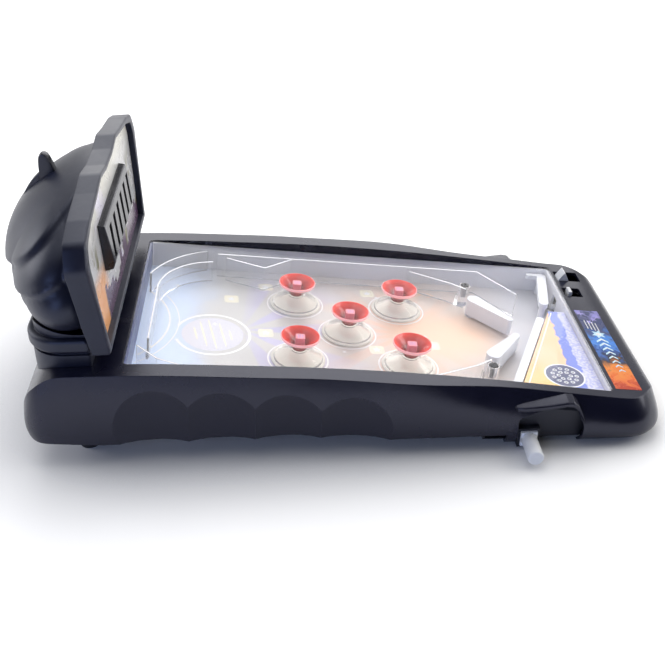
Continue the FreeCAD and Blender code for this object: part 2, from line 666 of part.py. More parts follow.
def head_neck():
    """Two-ringed neck between the rear deck and the dome."""
    ring = neck_plate(-192.5, 91.5, 25, 77, 87.5)
    rims = [e for e in ring.Edges if e.BoundBox.ZLength < 0.01 and e.BoundBox.XMin < -151.5]
    ring = ring.makeFillet(3, rims)
    groove = neck_plate(-188.5, 87.5, 22, 74.5, 95)
    foot = neck_plate(-190.5, 89.5, 23, 50, 75.2)
    return ring.fuse([groove, foot]).cut([BODY, head_lobes(0.1)])


save("head_neck", head_neck())


# Underside
def cover_z(x):
    """Height of the bottom cover's outer face."""
    if x > PAN_X:
        return PAN_Z
    if x < COVER_LEVELS[0][0]:
        return COVER_LEVELS[0][1]
    for (x0, z0), (x1, z1) in zip(COVER_LEVELS, COVER_LEVELS[1:]):
        if x <= x1:
            return z0 + (z1 - z0) * (x - x0) / (x1 - x0)
    return COVER_LEVELS[-1][1]


COVER_LEVELS = ((-193.0, 21.5), (-150.0, 17.3), (-22.0, 17.3), (35.0, 13.3), (PAN_X - 2, 13.3))
COVER_T = 2.0
DOOR = (-112.0, -40.0, -30.0, 30.0)
SCREWS = ((-172, -70), (-172, 70), (-5, -84), (-5, 84), (199, -58), (199, 58))
REAR_FEET = ((-162.0, -80.0), (-162.0, 80.0))
FRONT_FEET = ((196.0, -76.0), (196.0, 76.0))
FOOT_R = 6.5
PAD = 2.7


def bottom_cover():
    """Stepped cover of the underside, with its battery box, screw bosses and rear foot posts."""
    below = [(x, z, 0) for x, z in COVER_LEVELS] + [(PAN_X, PAN_Z, 0), (222, PAN_Z, 0)]
    above = [(x + 1 if x > 0 else x, z + COVER_T, 0) for x, z, r in below[::-1]]
    plate = profile(below + above, -120, 120)
    sides = [block(PAN_X, 117.5, y, y + COVER_T, PAN_Z, 15) for y in (-93.5, 91.5)]
    plate = plate.fuse(sides).common(INSIDE)
    shank_way = block(BUTTON_X - 6.2, BUTTON_X + 6.2, -96, -87.9, -5, 20)
    plate = plate.cut(both([block(117, 168.5, -130, -94.6, -5, 20), shank_way]))
    u0, u1, v0, v1 = DOOR
    box = block(u0 - 4, u1 + 4, v0 - 4, v1 + 4, 17.3, 31).cut(block(u0 - 2, u1 + 2, v0 - 2, v1 + 2, 10, 40))
    additions = [box]
    removals = [block(u0, u1, v0, v1, 10, 25)]
    for x, y in SCREWS:
        z = cover_z(x)
        additions.append(Part.makeCylinder(5.5, 6, Vector(x, y, z)))
        removals += [Part.makeCylinder(3.4, 3.5, Vector(x, y, z - 1)), Part.makeCylinder(1.6, 20, Vector(x, y, z - 2))]
    for x, y in REAR_FEET:
        additions.append(Part.makeCylinder(FOOT_R, 17, Vector(x, y, PAD)))
    stop = block(LAUNCH_STOP_X, LAUNCH_STOP_X + 2.5, LAUNCH_V - 7, LAUNCH_V + 7, PAN_Z, 22)
    return plate.fuse(additions + [stop]).cut(removals)


def housing_screw(x, y):
    z = cover_z(x) + 0.55
    length = 12 if x < PAN_X else 7
    head = Part.makeCylinder(3.1, 1.9, Vector(x, y, z))
    slot = [block(x - 1.8, x + 1.8, y - 0.4, y + 0.4, z - 1, z + 0.7), block(x - 0.4, x + 0.4, y - 1.8, y + 1.8, z - 1, z + 0.7)]
    return head.fuse(Part.makeCylinder(1.5, length, Vector(x, y, z))).cut(slot)


save("bottom_cover", bottom_cover())
save("housing_screws", Part.makeCompound([housing_screw(x, y) for x, y in SCREWS]))
pads = [Part.makeCylinder(FOOT_R, PAD - 0.02, Vector(x, y, 0)) for x, y in REAR_FEET + FRONT_FEET]
save("rubber_feet", Part.makeCompound(pads))
u0, u1, v0, v1 = DOOR
save("battery_door", block(u0 + 0.3, u1 - 0.3, v0 + 0.3, v1 - 0.3, 17.3, 19.1))
cells = [rod(7.1, Vector(-100.5, y, 26.6), Vector(-51.5, y, 26.6)) for y in (-18, 0, 18)]
save("batteries", Part.makeCompound(cells))
contacts = [block(x, x + 0.5, y - 6, y + 6, 20, 31) for x in (-113.9, -38.6) for y in (-18, 0, 18)]
save("battery_contacts", Part.makeCompound(contacts))
save("circuit_board", block(-30, 22, -45, 45, 19.8, 21.4))
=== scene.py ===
"""Looks of a tabletop electronic pinball game: a black moulded cabinet with a sloped playfield under a clear
cover, red lit bumpers, two flippers, a launch lever and an upright score head with a domed back."""
import math

import bpy
import numpy as np
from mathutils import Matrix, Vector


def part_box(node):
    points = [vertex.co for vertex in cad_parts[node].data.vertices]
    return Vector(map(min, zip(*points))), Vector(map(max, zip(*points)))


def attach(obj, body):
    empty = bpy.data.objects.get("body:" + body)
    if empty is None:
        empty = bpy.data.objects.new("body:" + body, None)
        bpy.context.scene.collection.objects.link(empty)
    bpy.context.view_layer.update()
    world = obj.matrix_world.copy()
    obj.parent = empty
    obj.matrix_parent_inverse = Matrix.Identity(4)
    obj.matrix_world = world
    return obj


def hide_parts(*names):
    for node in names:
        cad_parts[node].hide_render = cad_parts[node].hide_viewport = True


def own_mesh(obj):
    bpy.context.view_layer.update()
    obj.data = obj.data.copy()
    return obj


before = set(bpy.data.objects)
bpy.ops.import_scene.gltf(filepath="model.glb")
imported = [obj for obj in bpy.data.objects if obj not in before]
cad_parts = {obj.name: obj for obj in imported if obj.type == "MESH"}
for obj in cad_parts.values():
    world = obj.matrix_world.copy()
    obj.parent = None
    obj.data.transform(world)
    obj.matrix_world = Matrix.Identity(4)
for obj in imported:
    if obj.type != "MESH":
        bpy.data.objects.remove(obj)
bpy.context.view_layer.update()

# ----------------------------------------------------------
# Camera: a little above the near side of the game, looking along its width, as a product picture is taken.
# The lens angle suits a square picture.
camera = bpy.data.objects.new("camera", bpy.data.cameras.new("camera"))
bpy.context.scene.collection.objects.link(camera)
camera.location = (-0.03767, -0.6019, 0.4048)
camera.rotation_euler = (math.radians(58.193), 0, math.radians(-3.4633))
camera.data.lens = 52.36
camera.data.sensor_width = 36
bpy.context.scene.camera = camera
bpy.context.scene.view_settings.view_transform = "Standard"


# ----------------------------------------------------------
# Studio: a white sweep of paper under and behind the game, lit by large soft boxes and by the pale room.
# The paper is seen brighter than it lights, so that it stays white round the game's soft shadow. Near the game that
# glow is cut by ambient occlusion, which paints a darker contact shadow under it.
def node(tree, kind, inputs=None, **options):
    """One shader node. Inputs are given by name or place, each a plain value or another node's output."""
    made = tree.nodes.new("ShaderNode" + kind)
    for option, value in options.items():
        setattr(made, option, value)
    for place, value in (inputs or {}).items():
        if isinstance(value, bpy.types.NodeSocket):
            tree.links.new(value, made.inputs[place])
        else:
            made.inputs[place].default_value = value
    return made


def maths(tree, operation, *values):
    """Result of one Math node on plain values or other nodes' outputs."""
    return node(tree, "Math", dict(enumerate(values)), operation=operation).outputs[0]


def times(tree, one, other):
    """Product of two values."""
    return maths(tree, "MULTIPLY", one, other)


def ramp(tree, value, low, high, to_low=0.0, to_high=1.0, kind="LINEAR"):
    """A value's way from low to high, as one from to_low to to_high that stays at its ends."""
    return node(tree, "MapRange", {"Value": value, "From Min": low, "From Max": high, "To Min": to_low,
                                   "To Max": to_high}, interpolation_type=kind).outputs[0]


def seen_directly(tree):
    """1 for what the camera sees, straight, in a gloss or through clear plastic, and 0 for other light."""
    path = node(tree, "LightPath").outputs
    seen = maths(tree, "MAXIMUM", path["Is Camera Ray"], path["Is Glossy Ray"])
    return maths(tree, "MAXIMUM", seen, path["Is Transmission Ray"])


world = bpy.data.worlds.new("pale_room")
bpy.context.scene.world = world
world.use_nodes = True
room = world.node_tree
room_side = node(room, "SeparateXYZ", {0: node(room, "TexCoord").outputs["Generated"]})
room_fall = ramp(room, room_side.outputs["Y"], -0.5, 0.4, 0.05, 0.7)
camera_path = node(room, "LightPath").outputs["Is Camera Ray"]
room_light = node(room, "Mix", {0: camera_path, 2: room_fall, 3: 1.0})
room.links.new(room_light.outputs[0], room.nodes["Background"].inputs["Strength"])
room.nodes["Background"].inputs["Color"].default_value = (1.0, 1.0, 1.0, 1)


def new_material(name):
    """An empty material with its nodes, and its one Principled shader."""
    material = bpy.data.materials.new(name)
    material.use_nodes = True
    return material, material.node_tree, material.node_tree.nodes["Principled BSDF"]


def put(shader, **values):
    """Plain values on a shader's own sockets, each named with _ for a space."""
    for socket, value in values.items():
        shader.inputs[socket.replace("_", " ")].default_value = value


paper, sheet, sheet_shader = new_material("white_paper")
put(sheet_shader, Base_Color=(0.82, 0.82, 0.83, 1), Roughness=0.9, Specular_IOR_Level=0.1,
    Emission_Color=(1.0, 1.0, 1.0, 1))
# Painted contact shadow: the paper's glow is scaled down by ambient occlusion, so the paper darkens close to the game.
occlusion_for_painted_shadow = node(sheet, "AmbientOcclusion", {"Distance": 0.12}, samples=8).outputs["AO"]
glow = times(sheet, times(sheet, seen_directly(sheet), 0.5), maths(sheet, "POWER", occlusion_for_painted_shadow, 3.4))
sheet.links.new(glow, sheet_shader.inputs["Emission Strength"])

paper_mesh = bpy.data.meshes.new("paper_sweep")
paper_mesh.from_pydata([(-4, -3, 0), (4, -3, 0), (4, 5, 0), (-4, 5, 0)], [], [(0, 1, 2, 3)])
paper_sweep = bpy.data.objects.new("paper_sweep", paper_mesh)
bpy.context.scene.collection.objects.link(paper_sweep)
paper_mesh.materials.append(paper)

for name, place, aim, size, power, colour in (
        ("soft_box_behind", (0.1, 1.7, 1.15), (0, 0, 0.05), 1.8, 18.0, (1.0, 0.99, 0.98)),
        ("soft_box_above", (-0.1, 0.3, 1.3), (0, 0, 0.05), 1.0, 3.5, (1.0, 0.99, 0.98)),
        ("soft_box_side", (-1.5, 0.5, 0.6), (-0.15, 0, 0.1), 0.9, 7.0, (1.0, 0.99, 0.98)),
        ("soft_box_right", (1.3, 0.2, 0.7), (-0.1, 0, 0.1), 0.9, 9.0, (1.0, 0.98, 0.94)),
        ("blue_card", (-0.7, -1.2, 0.5), (0, 0, 0.08), 0.8, 5.0, (0.50, 0.62, 1.0))):
    lamp = bpy.data.lights.new(name, "AREA")
    lamp.shape, lamp.size, lamp.energy, lamp.color = "SQUARE", size, power, colour
    box = bpy.data.objects.new(name, lamp)
    bpy.context.scene.collection.objects.link(box)
    box.location = place
    reach = np.array(aim) - np.array(place)
    box.rotation_euler = (math.acos(-reach[2] / np.linalg.norm(reach)), 0,
                          math.atan2(reach[1], reach[0]) - math.pi / 2)


# ----------------------------------------------------------
# Cabinet: black impact plastic moulded with a fine spark-eroded grain. The corners are a shade greyer where
# hands rub them, and a little dust lies on what faces up. The head's frame and dome come from the same mould shop.
def group_socket(tree, name, kind, output=False, value=None):
    """A named way into or out of a node group."""
    made = tree.interface.new_socket(name=name, in_out="OUTPUT" if output else "INPUT",
                                     socket_type="NodeSocket" + kind)
    if value is not None:
        made.default_value = value


def arrow_maths(tree, operation, *values):
    """Result of one Vector Math node: a vector, or a value from LENGTH and DOT_PRODUCT."""
    made = node(tree, "VectorMath", dict(enumerate(values)), operation=operation)
    return made.outputs["Value" if operation in ("LENGTH", "DOT_PRODUCT") else "Vector"]


def scaled(tree, vector, share):
    """A vector or colour times one share."""
    return node(tree, "VectorMath", {0: vector, "Scale": share}, operation="SCALE").outputs[0]


def blended(tree, share, one, other):
    """Colour one, gone over to colour other by a share."""
    colours = [c if isinstance(c, bpy.types.NodeSocket) else (*c, 1) for c in (one, other)]
    return node(tree, "Mix", {0: share, 6: colours[0], 7: colours[1]}, data_type="RGBA").outputs[2]


def noise(tree, place, scale, detail=2.0, roughness=0.5, distortion=0.0):
    """Cloudy noise from 0 to 1."""
    return node(tree, "TexNoise", {"Vector": place, "Scale": scale, "Detail": detail, "Roughness": roughness,
                                   "Distortion": distortion}).outputs[0]


def make_moulded_surface():
    """Shared look of moulded plastic: cloudy shade, fine grain as height, rubbed corners and settled dust.

    Rubbing is where a normal averaged over the worn radius turns away from the face's own, broken up by noise.
    Dust is where the face looks up, times noise.
    """
    tree = bpy.data.node_groups.new("moulded_surface", "ShaderNodeTree")
    for name, kind, value in (("Place", "Vector", None), ("Colour", "Color", None), ("Rubbed", "Color", None),
                              ("Dust", "Float", 0.1), ("Shine", "Float", 0.4), ("Grain", "Float", 1400.0),
                              ("Corner", "Float", 0.0006)):
        group_socket(tree, name, kind, value=value)
    for name, kind in (("Colour", "Color"), ("Roughness", "Float"), ("Height", "Float")):
        group_socket(tree, name, kind, output=True)
    given, result = tree.nodes.new("NodeGroupInput").outputs, tree.nodes.new("NodeGroupOutput")
    place = given["Place"]
    grain = noise(tree, place, given["Grain"], roughness=0.6)
    cloud = noise(tree, place, 22.0, 4.0, 0.6)
    smear = noise(tree, place, 90.0, 3.0, distortion=0.8)
    surface = node(tree, "NewGeometry").outputs
    worn = node(tree, "Bevel", {"Radius": given["Corner"]}, samples=4)
    turn = arrow_maths(tree, "DOT_PRODUCT", worn.outputs[0], surface["True Normal"])
    rub = times(tree, ramp(tree, turn, 0.995, 0.9), ramp(tree, smear, 0.35, 0.6))
    plain = scaled(tree, given["Colour"], ramp(tree, cloud, 0.3, 0.7, 0.88, 1.12))
    up = node(tree, "SeparateXYZ", {0: surface["Normal"]}).outputs["Z"]
    lying = times(tree, ramp(tree, up, 0.6, 1.0), ramp(tree, smear, 0.45, 0.75))
    dusty = blended(tree, times(tree, lying, given["Dust"]), blended(tree, rub, plain, given["Rubbed"]),
                    (0.42, 0.42, 0.43))
    rough = maths(tree, "ADD", given["Shine"], ramp(tree, cloud, 0.25, 0.75, -0.06, 0.06))
    for value, socket in ((dusty, "Colour"), (rough, "Roughness"), (grain, "Height")):
        tree.links.new(value, result.inputs[socket])
    return tree


moulded_surface = make_moulded_surface()


def object_place(tree):
    """Object coordinates."""
    return node(tree, "TexCoord").outputs["Object"]


def surfaced(tree, shader, colour, rough, height, depth):
    """Gives a shader its colour, its roughness and a bump of a depth in metres, which comes back."""
    bump = node(tree, "Bump", {"Height": height, "Distance": depth})
    for value, socket in ((colour, "Base Color"), (rough, "Roughness"), (bump.outputs[0], "Normal")):
        tree.links.new(value, shader.inputs[socket])
    return bump


def moulded(name, colour, rubbed, shine, dust=0.1, grain=1400.0, depth=0.00003, corner=0.0006, bevel=None):
    """A moulded plastic: the shared surface with this piece's own colour, shine and grain."""
    material, tree, shader = new_material(name)
    surface = node(tree, "Group", node_tree=moulded_surface)
    tree.links.new(object_place(tree), surface.inputs["Place"])
    put(surface, Colour=(*colour, 1), Rubbed=(*rubbed, 1), Dust=dust, Shine=shine, Grain=grain, Corner=corner)
    bump = surfaced(tree, shader, *surface.outputs[:], depth)
    bump.inputs["Strength"].default_value = 0.6
    if bevel:
        tree.links.new(node(tree, "Bevel", {"Radius": bevel}, samples=4).outputs[0], bump.inputs["Normal"])
    put(shader, Specular_Tint=(0.80, 0.82, 1.0, 1))
    return material


def dress(names, material):
    """Gives one material to CAD nodes, by name."""
    for name in names.split():
        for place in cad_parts[name].material_slots:
            place.material = material


cabinet_black = moulded("cabinet_black", (0.006, 0.0065, 0.019), (0.03, 0.03, 0.045), 0.25, dust=0.02, bevel=0.0008)
dress("upper_housing", cabinet_black)

# ----------------------------------------------------------
# Underside: a plain black cover with its battery door, held by steel screws, standing on four rubber pads.
# Inside it lie three cells between their spring contacts, and the green circuit board.
under_black = moulded("under_black", (0.02, 0.02, 0.023), (0.05, 0.05, 0.055), 0.55, dust=0.0, grain=900.0)
dress("bottom_cover battery_door switch_body left_crank right_crank", under_black)
bracket_black = moulded("bracket_black", (0.012, 0.013, 0.018), (0.04, 0.04, 0.045), 0.5, bevel=0.0005)
dress("left_button_bracket right_button_bracket", bracket_black)
pad_rubber = moulded("pad_rubber", (0.028, 0.028, 0.03), (0.06, 0.06, 0.06), 0.8, dust=0.0, grain=2200.0)
dress("rubber_feet", pad_rubber)


def metal(name, colour, roughness, scratch_scale, scratch_stretch=(1, 1, 1)):
    """A bare metal with fine drawn scratches: noise pulled out along one direction, in roughness and height."""
    material, tree, shader = new_material(name)
    pulled = node(tree, "Mapping", {"Vector": object_place(tree), "Scale": scratch_stretch}).outputs[0]
    scratch = noise(tree, pulled, scratch_scale, 3.0)
    tint = blended(tree, scratch, [0.8 * c for c in colour], colour)
    surfaced(tree, shader, tint, ramp(tree, scratch, 0.3, 0.7, roughness * 0.7, roughness * 1.4), scratch, 0.00001)
    put(shader, Metallic=1.0)
    return material


screw_steel = metal("screw_steel", (0.32, 0.32, 0.34), 0.32, 900.0)
dress("housing_screws", screw_steel)
dress("guide_screws", metal("dark_steel", (0.05, 0.05, 0.055), 0.42, 900.0))
dress("battery_contacts", metal("contact_plate", (0.75, 0.73, 0.68), 0.3, 600.0, (1, 6, 1)))
cell_wrap = moulded("cell_wrap", (0.05, 0.12, 0.3), (0.2, 0.25, 0.35), 0.3, dust=0.0, grain=300.0)
dress("batteries", cell_wrap)
board_green = moulded("board_green", (0.02, 0.16, 0.07), (0.2, 0.3, 0.15), 0.45, dust=0.0, grain=500.0)
dress("circuit_board score_board", board_green)

# ----------------------------------------------------------
# Playfield: a white moulded tray whose floor is printed. The print is a pale wash, sky blue behind, grey in the
# middle and peach in front, with lavender rays from the rear and peach rays from the middle of the table.
TABLE_REAR = (-0.13907, 0.067)
TABLE_SLOPE = math.radians(6.22)
FLOOR = -21.5


def on_table(u, v, h):
    """Metres in the game's frame from millimetres on the table: u along the slope, v across and h square to it."""
    u, v, h = np.broadcast_arrays(np.asarray(u, float), v, h)
    x = TABLE_REAR[0] + (u * math.cos(TABLE_SLOPE) + h * math.sin(TABLE_SLOPE)) / 1000
    z = TABLE_REAR[1] + (h * math.cos(TABLE_SLOPE) - u * math.sin(TABLE_SLOPE)) / 1000
    return np.stack([x, v / 1000, z], -1)


def turned_place(tree, foot, angle):
    """Object coordinates from a foot (x, z), turned about the game's width by an angle, in millimetres."""
    shifted = arrow_maths(tree, "SUBTRACT", object_place(tree), (foot[0], 0, foot[1]))
    flat = node(tree, "VectorRotate", {"Vector": shifted, "Axis": (0, 1, 0), "Angle": angle})
    return scaled(tree, flat.outputs[0], 1000.0)


def table_place(tree):
    """Place on the table as (u, v, h) in millimetres."""
    return turned_place(tree, TABLE_REAR, -TABLE_SLOPE)


def between(*given):
    """Smooth step of a value, given as ramp's are."""
    return ramp(*given, kind="SMOOTHSTEP")


def rays(tree, place, centre, count, turn, reach):
    """Rays round a centre: a sine of the bearing, faded out over the reach."""
    flat = arrow_maths(tree, "MULTIPLY", arrow_maths(tree, "SUBTRACT", place, (*centre, 0)), (1, 1, 0))
    axes = node(tree, "SeparateXYZ", {0: flat}).outputs
    bearing = maths(tree, "ARCTAN2", axes["Y"], axes["X"])
    swing = maths(tree, "SINE", maths(tree, "MULTIPLY_ADD", bearing, count, turn))
    near = between(tree, arrow_maths(tree, "LENGTH", flat), reach, reach * 0.25)
    return times(tree, between(tree, swing, -0.2, 0.5), near)


def spot(tree, place, centre, radii):
    """Soft oval spot: 1 in the middle, 0 at its radii."""
    out = arrow_maths(tree, "SUBTRACT", place, (*centre, 0))
    shares = arrow_maths(tree, "MULTIPLY", out, (1 / radii[0], 1 / radii[1], 0))
    return between(tree, arrow_maths(tree, "LENGTH", shares), 1.0, 0.2)


def make_playfield_print():
    """The printed floor of the tray, plain white plastic above it, and a dark blue strip at its rear wall."""
    material, tree, shader = new_material("playfield_print")
    place = table_place(tree)
    axes = node(tree, "SeparateXYZ", {0: place}).outputs
    cloud = noise(tree, place, 0.018, 5.0, 0.55)
    along = maths(tree, "ADD", axes["X"], ramp(tree, cloud, 0.0, 1.0, -26.0, 26.0))
    colour = blended(tree, between(tree, along, 22, 60), (0.56, 0.66, 0.86), (0.62, 0.61, 0.60))
    colour = blended(tree, between(tree, along, 90, 215), colour, (0.72, 0.62, 0.55))
    colour = blended(tree, between(tree, along, 235, 300), colour, (0.62, 0.62, 0.66))
    beams = times(tree, rays(tree, place, (74, -4), 10, 0.4, 120), between(tree, axes["X"], 70, 92))
    colour = blended(tree, times(tree, beams, 0.55), colour, (0.50, 0.47, 0.80))
    colour = blended(tree, times(tree, rays(tree, place, (196, 4), 15, 0.0, 92), 0.45), colour, (0.88, 0.54, 0.38))
    colour = blended(tree, spot(tree, place, (222, 6), (66, 50)), colour, (0.92, 0.62, 0.44))
    colour = blended(tree, between(tree, along, 46, 16), colour, (0.66, 0.78, 0.98))
    specks = noise(tree, place, 1.8)
    printed = scaled(tree, colour, between(tree, specks, 0.3, 0.75, 0.94, 1.04))
    above = between(tree, axes["Z"], FLOOR + 0.05, FLOOR + 0.25)
    sides = blended(tree, between(tree, axes["X"], 2.6, 2.2), (0.66, 0.66, 0.70), (0.01, 0.03, 0.15))
    colour = blended(tree, above, printed, sides)
    surfaced(tree, shader, colour, between(tree, cloud, 0.3, 0.7, 0.3, 0.42), specks, 0.00002)
    return material


dress("playfield_tray", make_playfield_print())


def ring_part(centre, inner, outer, start=0.0, end=360.0, steps=64):
    """Part of a flat ring: one circle from start to end degrees, then the other back."""
    turns = np.radians(np.linspace(start, end, steps))
    circle = np.stack([np.cos(turns), np.sin(turns)], -1)
    return np.concatenate([circle * outer, circle[::-1] * inner]) + centre


def disc(centre, radius, steps=64):
    """A circle's points, at even turns."""
    turns = np.linspace(0, 2 * math.pi, steps, endpoint=False)
    return np.stack([np.cos(turns), np.sin(turns)], -1) * radius + centre


def star(centre, outer, inner, points, turn=0.0):
    """Star: corners at even bearings, by turns on the outer and the inner circle."""
    bearings = np.arange(2 * points) * math.pi / points + turn
    radii = np.where(np.arange(2 * points) % 2 == 0, outer, inner)
    return np.stack([np.cos(bearings), np.sin(bearings)], -1) * radii[:, None] + centre


def soft_square(centre, width, height, turn=0.0, power=6.0, steps=40):
    """Rounded rectangle as a superellipse: |x/w|^power + |y/h|^power = 1, turned about its middle."""
    angles = np.linspace(0, 2 * math.pi, steps, endpoint=False)
    cos, sin = np.cos(angles), np.sin(angles)
    x = np.sign(cos) * np.abs(cos) ** (2 / power) * width / 2
    y = np.sign(sin) * np.abs(sin) ** (2 / power) * height / 2
    c, s = math.cos(turn), math.sin(turn)
    return np.stack([x * c - y * s, x * s + y * c], -1) + centre


def bar(start, end, width):
    """Straight bar of one width between two places."""
    start, end = np.array(start, float), np.array(end, float)
    side = np.array([start[1] - end[1], end[0] - start[0]])
    side *= width / 2 / np.linalg.norm(side)
    return np.array([start + side, end + side, end - side, start - side])


def new_piece(name, points, faces, material, smooth=False):
    """A mesh in its place in the game's frame, riding on the cabinet."""
    mesh = bpy.data.meshes.new(name)
    mesh.from_pydata(np.asarray(points).reshape(-1, 3).tolist(), [], [tuple(map(int, f)) for f in faces])
    mesh.polygons.foreach_set("use_smooth", [smooth] * len(mesh.polygons))
    mesh.materials.append(material)
    piece = bpy.data.objects.new(name, mesh)
    bpy.context.scene.collection.objects.link(piece)
    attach(piece, "cabinet")
    return piece


def counter_clockwise(shape):
    """The outline in the order that makes its face look up."""
    x, y = np.asarray(shape).T
    area = np.sum(x * np.roll(y, -1) - np.roll(x, -1) * y)
    return shape if area > 0 else shape[::-1]


def ink_layer(name, shapes, height, material):
    """One pass of ink: flat outlines at a height above the printed surface."""
    shapes = [counter_clockwise(np.asarray(s, float)) for s in shapes]
    ends = np.cumsum([len(s) for s in shapes])
    faces = [range(end - len(s), end) for s, end in zip(shapes, ends)]
    flat = np.concatenate(shapes)
    return new_piece(name, on_table(flat[:, 0], flat[:, 1], height), faces, material)


def ink(name, colour, shine=0.35):
    """A screen-printed ink: its colour a little uneven, its surface slightly pitted."""
    material, tree, shader = new_material(name)
    patch = noise(tree, object_place(tree), 900.0, 3.0, 0.65)
    uneven = scaled(tree, colour, between(tree, patch, 0.3, 0.7, 0.92, 1.08))
    surfaced(tree, shader, uneven, between(tree, patch, 0.3, 0.7, shine - 0.05, shine + 0.08), patch, 0.00001)
    return material


cream_ink = ink("cream_ink", (0.84, 0.80, 0.66))
white_ink = ink("white_ink", (0.88, 0.88, 0.88))
pale_ink = ink("pale_ink", (0.70, 0.69, 0.76))
lilac_ink = ink("lilac_ink", (0.32, 0.28, 0.66))
peach_ink = ink("peach_ink", (0.86, 0.60, 0.44))

BUMPERS = ((114.4, -38.2), (114.4, 38.2), (151.9, 0.0), (192.6, -39.0), (192.6, 39.0))
planet = (54.0, -12.0)
ink_layer("print_rings", [ring_part(planet, 25.5, 27.5, 200, 520), ring_part((-40, 0), 62, 63.4, -46, 46),
                          ring_part((-40, 0), 69, 69.8, -51, 51)]
          + [ring_part(b, 20.5, 21.6) for b in BUMPERS], FLOOR + 0.02, white_ink)
ink_layer("print_planet", [disc(planet, 22)], FLOOR + 0.02, pale_ink)
ink_layer("print_planet_bands", [soft_square((planet[0] + 4 * k, planet[1]), 1.6, 40 - 2.6 * k * k, 0.2, 2.2)
                                 for k in (-3, -1.6, 0, 1.8, 3.2)], FLOOR + 0.04, cream_ink)
squares = [(92, -6), (92, 62), (132, -62), (172, -20), (172, 62), (150, 34), (214, -10), (66, 40), (76, -62)]
ink_layer("print_squares", [soft_square(p, 11, 11, 0.08) for p in squares], FLOOR + 0.02, cream_ink)
ink_layer("print_stars", [star(p, 3.6, 1.5, 5, 0.3) for p in squares], FLOOR + 0.04, white_ink)
ink_layer("print_small_stars", [star((24 + 31 * k, 56 - 27 * (k * 7 % 5)), 2.4, 0.9, 4, 0.2 * k) for k in range(9)],
          FLOOR + 0.03, white_ink)
ink_layer("print_chevrons", [np.array([(u, v - 4), (u + 5, v), (u, v + 4), (u - 2.5, v + 4), (u + 2.5, v),
                                       (u - 2.5, v - 4)]) for v in (-66, 66) for u in (222, 212, 202)],
          FLOOR + 0.03, peach_ink)

# ----------------------------------------------------------
# Clear guides: thin walls of clear styrene that steer the ball, and the bumpers' clear skirts. Lamp light passes
# through them. Moulding leaves slight waves in them, and their top edges carry white strips of painted highlight.
def clear(name, colour, roughness, wave, ior=1.5, milk=0.0):
    """Clear plastic: glass with slight waves and a share of milkiness, which lets the lamps' light straight through."""
    material, tree, shader = new_material(name)
    put(shader, Base_Color=(*colour, 1), Roughness=roughness, IOR=ior, Transmission_Weight=1.0 - milk)
    bump = node(tree, "Bump", {"Height": noise(tree, object_place(tree), 130.0), "Distance": wave})
    tree.links.new(bump.outputs[0], shader.inputs["Normal"])
    through = node(tree, "BsdfTransparent", {"Color": (*colour, 1)})
    mix = node(tree, "MixShader", {0: node(tree, "LightPath").outputs["Is Shadow Ray"], 1: shader.outputs[0],
                                   2: through.outputs[0]})
    tree.links.new(mix.outputs[0], tree.nodes["Material Output"].inputs["Surface"])
    return material


clear_guide = clear("clear_guide", (0.98, 0.985, 1.0), 0.08, 0.0002, ior=1.3, milk=0.08)
dress("lane_wall rear_arch rear_corner_guide rear_deflector left_inlane_guide right_inlane_guide", clear_guide)
clear_skirt = clear("clear_skirt", (1.0, 0.99, 0.96), 0.08, 0.0003, ior=1.4, milk=0.15)
dress(" ".join(f"bumper_{i}_skirt" for i in range(1, 6)), clear_skirt)


def arc_points(start, middle, end, steps=16):
    """Points of the circle through three places: its centre is as far from each, its bearing runs evenly."""
    start, middle, end = (np.array(p, float) for p in (start, middle, end))
    sides = 2 * np.array([middle - start, end - start])
    centre = np.linalg.solve(sides, [middle @ middle - start @ start, end @ end - start @ start])
    bearings = np.unwrap([math.atan2(*(p - centre)[::-1]) for p in (start, middle, end)])
    turns = np.linspace(bearings[0], bearings[2], steps)
    return centre + np.linalg.norm(start - centre) * np.stack([np.cos(turns), np.sin(turns)], -1)


def painted_lit_edge(name, chain, height):
    """Painted highlight on the top edge of a clear wall, where the light that runs inside the sheet comes out: white
    ink strips.
    """
    ink_layer(name, [bar(a, b, 1.1) for a, b in zip(chain[:-1], chain[1:])], height + 0.04, edge_highlight_white)


# Painted highlight: a white ink stands in for the light that the clear walls' top edges catch.
edge_highlight_white = ink("edge_highlight_white", (0.92, 0.93, 0.97))
painted_lit_edge("lane_edge", [(54, 75.2), (260, 75.2), (285, 41.8)], -2.2)
painted_lit_edge("zigzag_edge", [(61, 69.4), (90, 57.3), (111, 74.2)], -2.2)
painted_lit_edge("arch_edge", [(12, -48), *arc_points((12, 25), (24, 53), (50, 67))], -5.0)
painted_lit_edge("corner_edge", arc_points((5, 42), (19, 66), (45, 84)), -5.0)
painted_lit_edge("deflector_edge", [(6, -58), (20, -72), (40, -80), (58, -84)], -5.0)
for side, sign in (("left", -1), ("right", 1)):
    painted_lit_edge(f"{side}_inlane_edge", [(205, sign * 73.4), (236, sign * 58), (247, sign * 50)], -5.0)

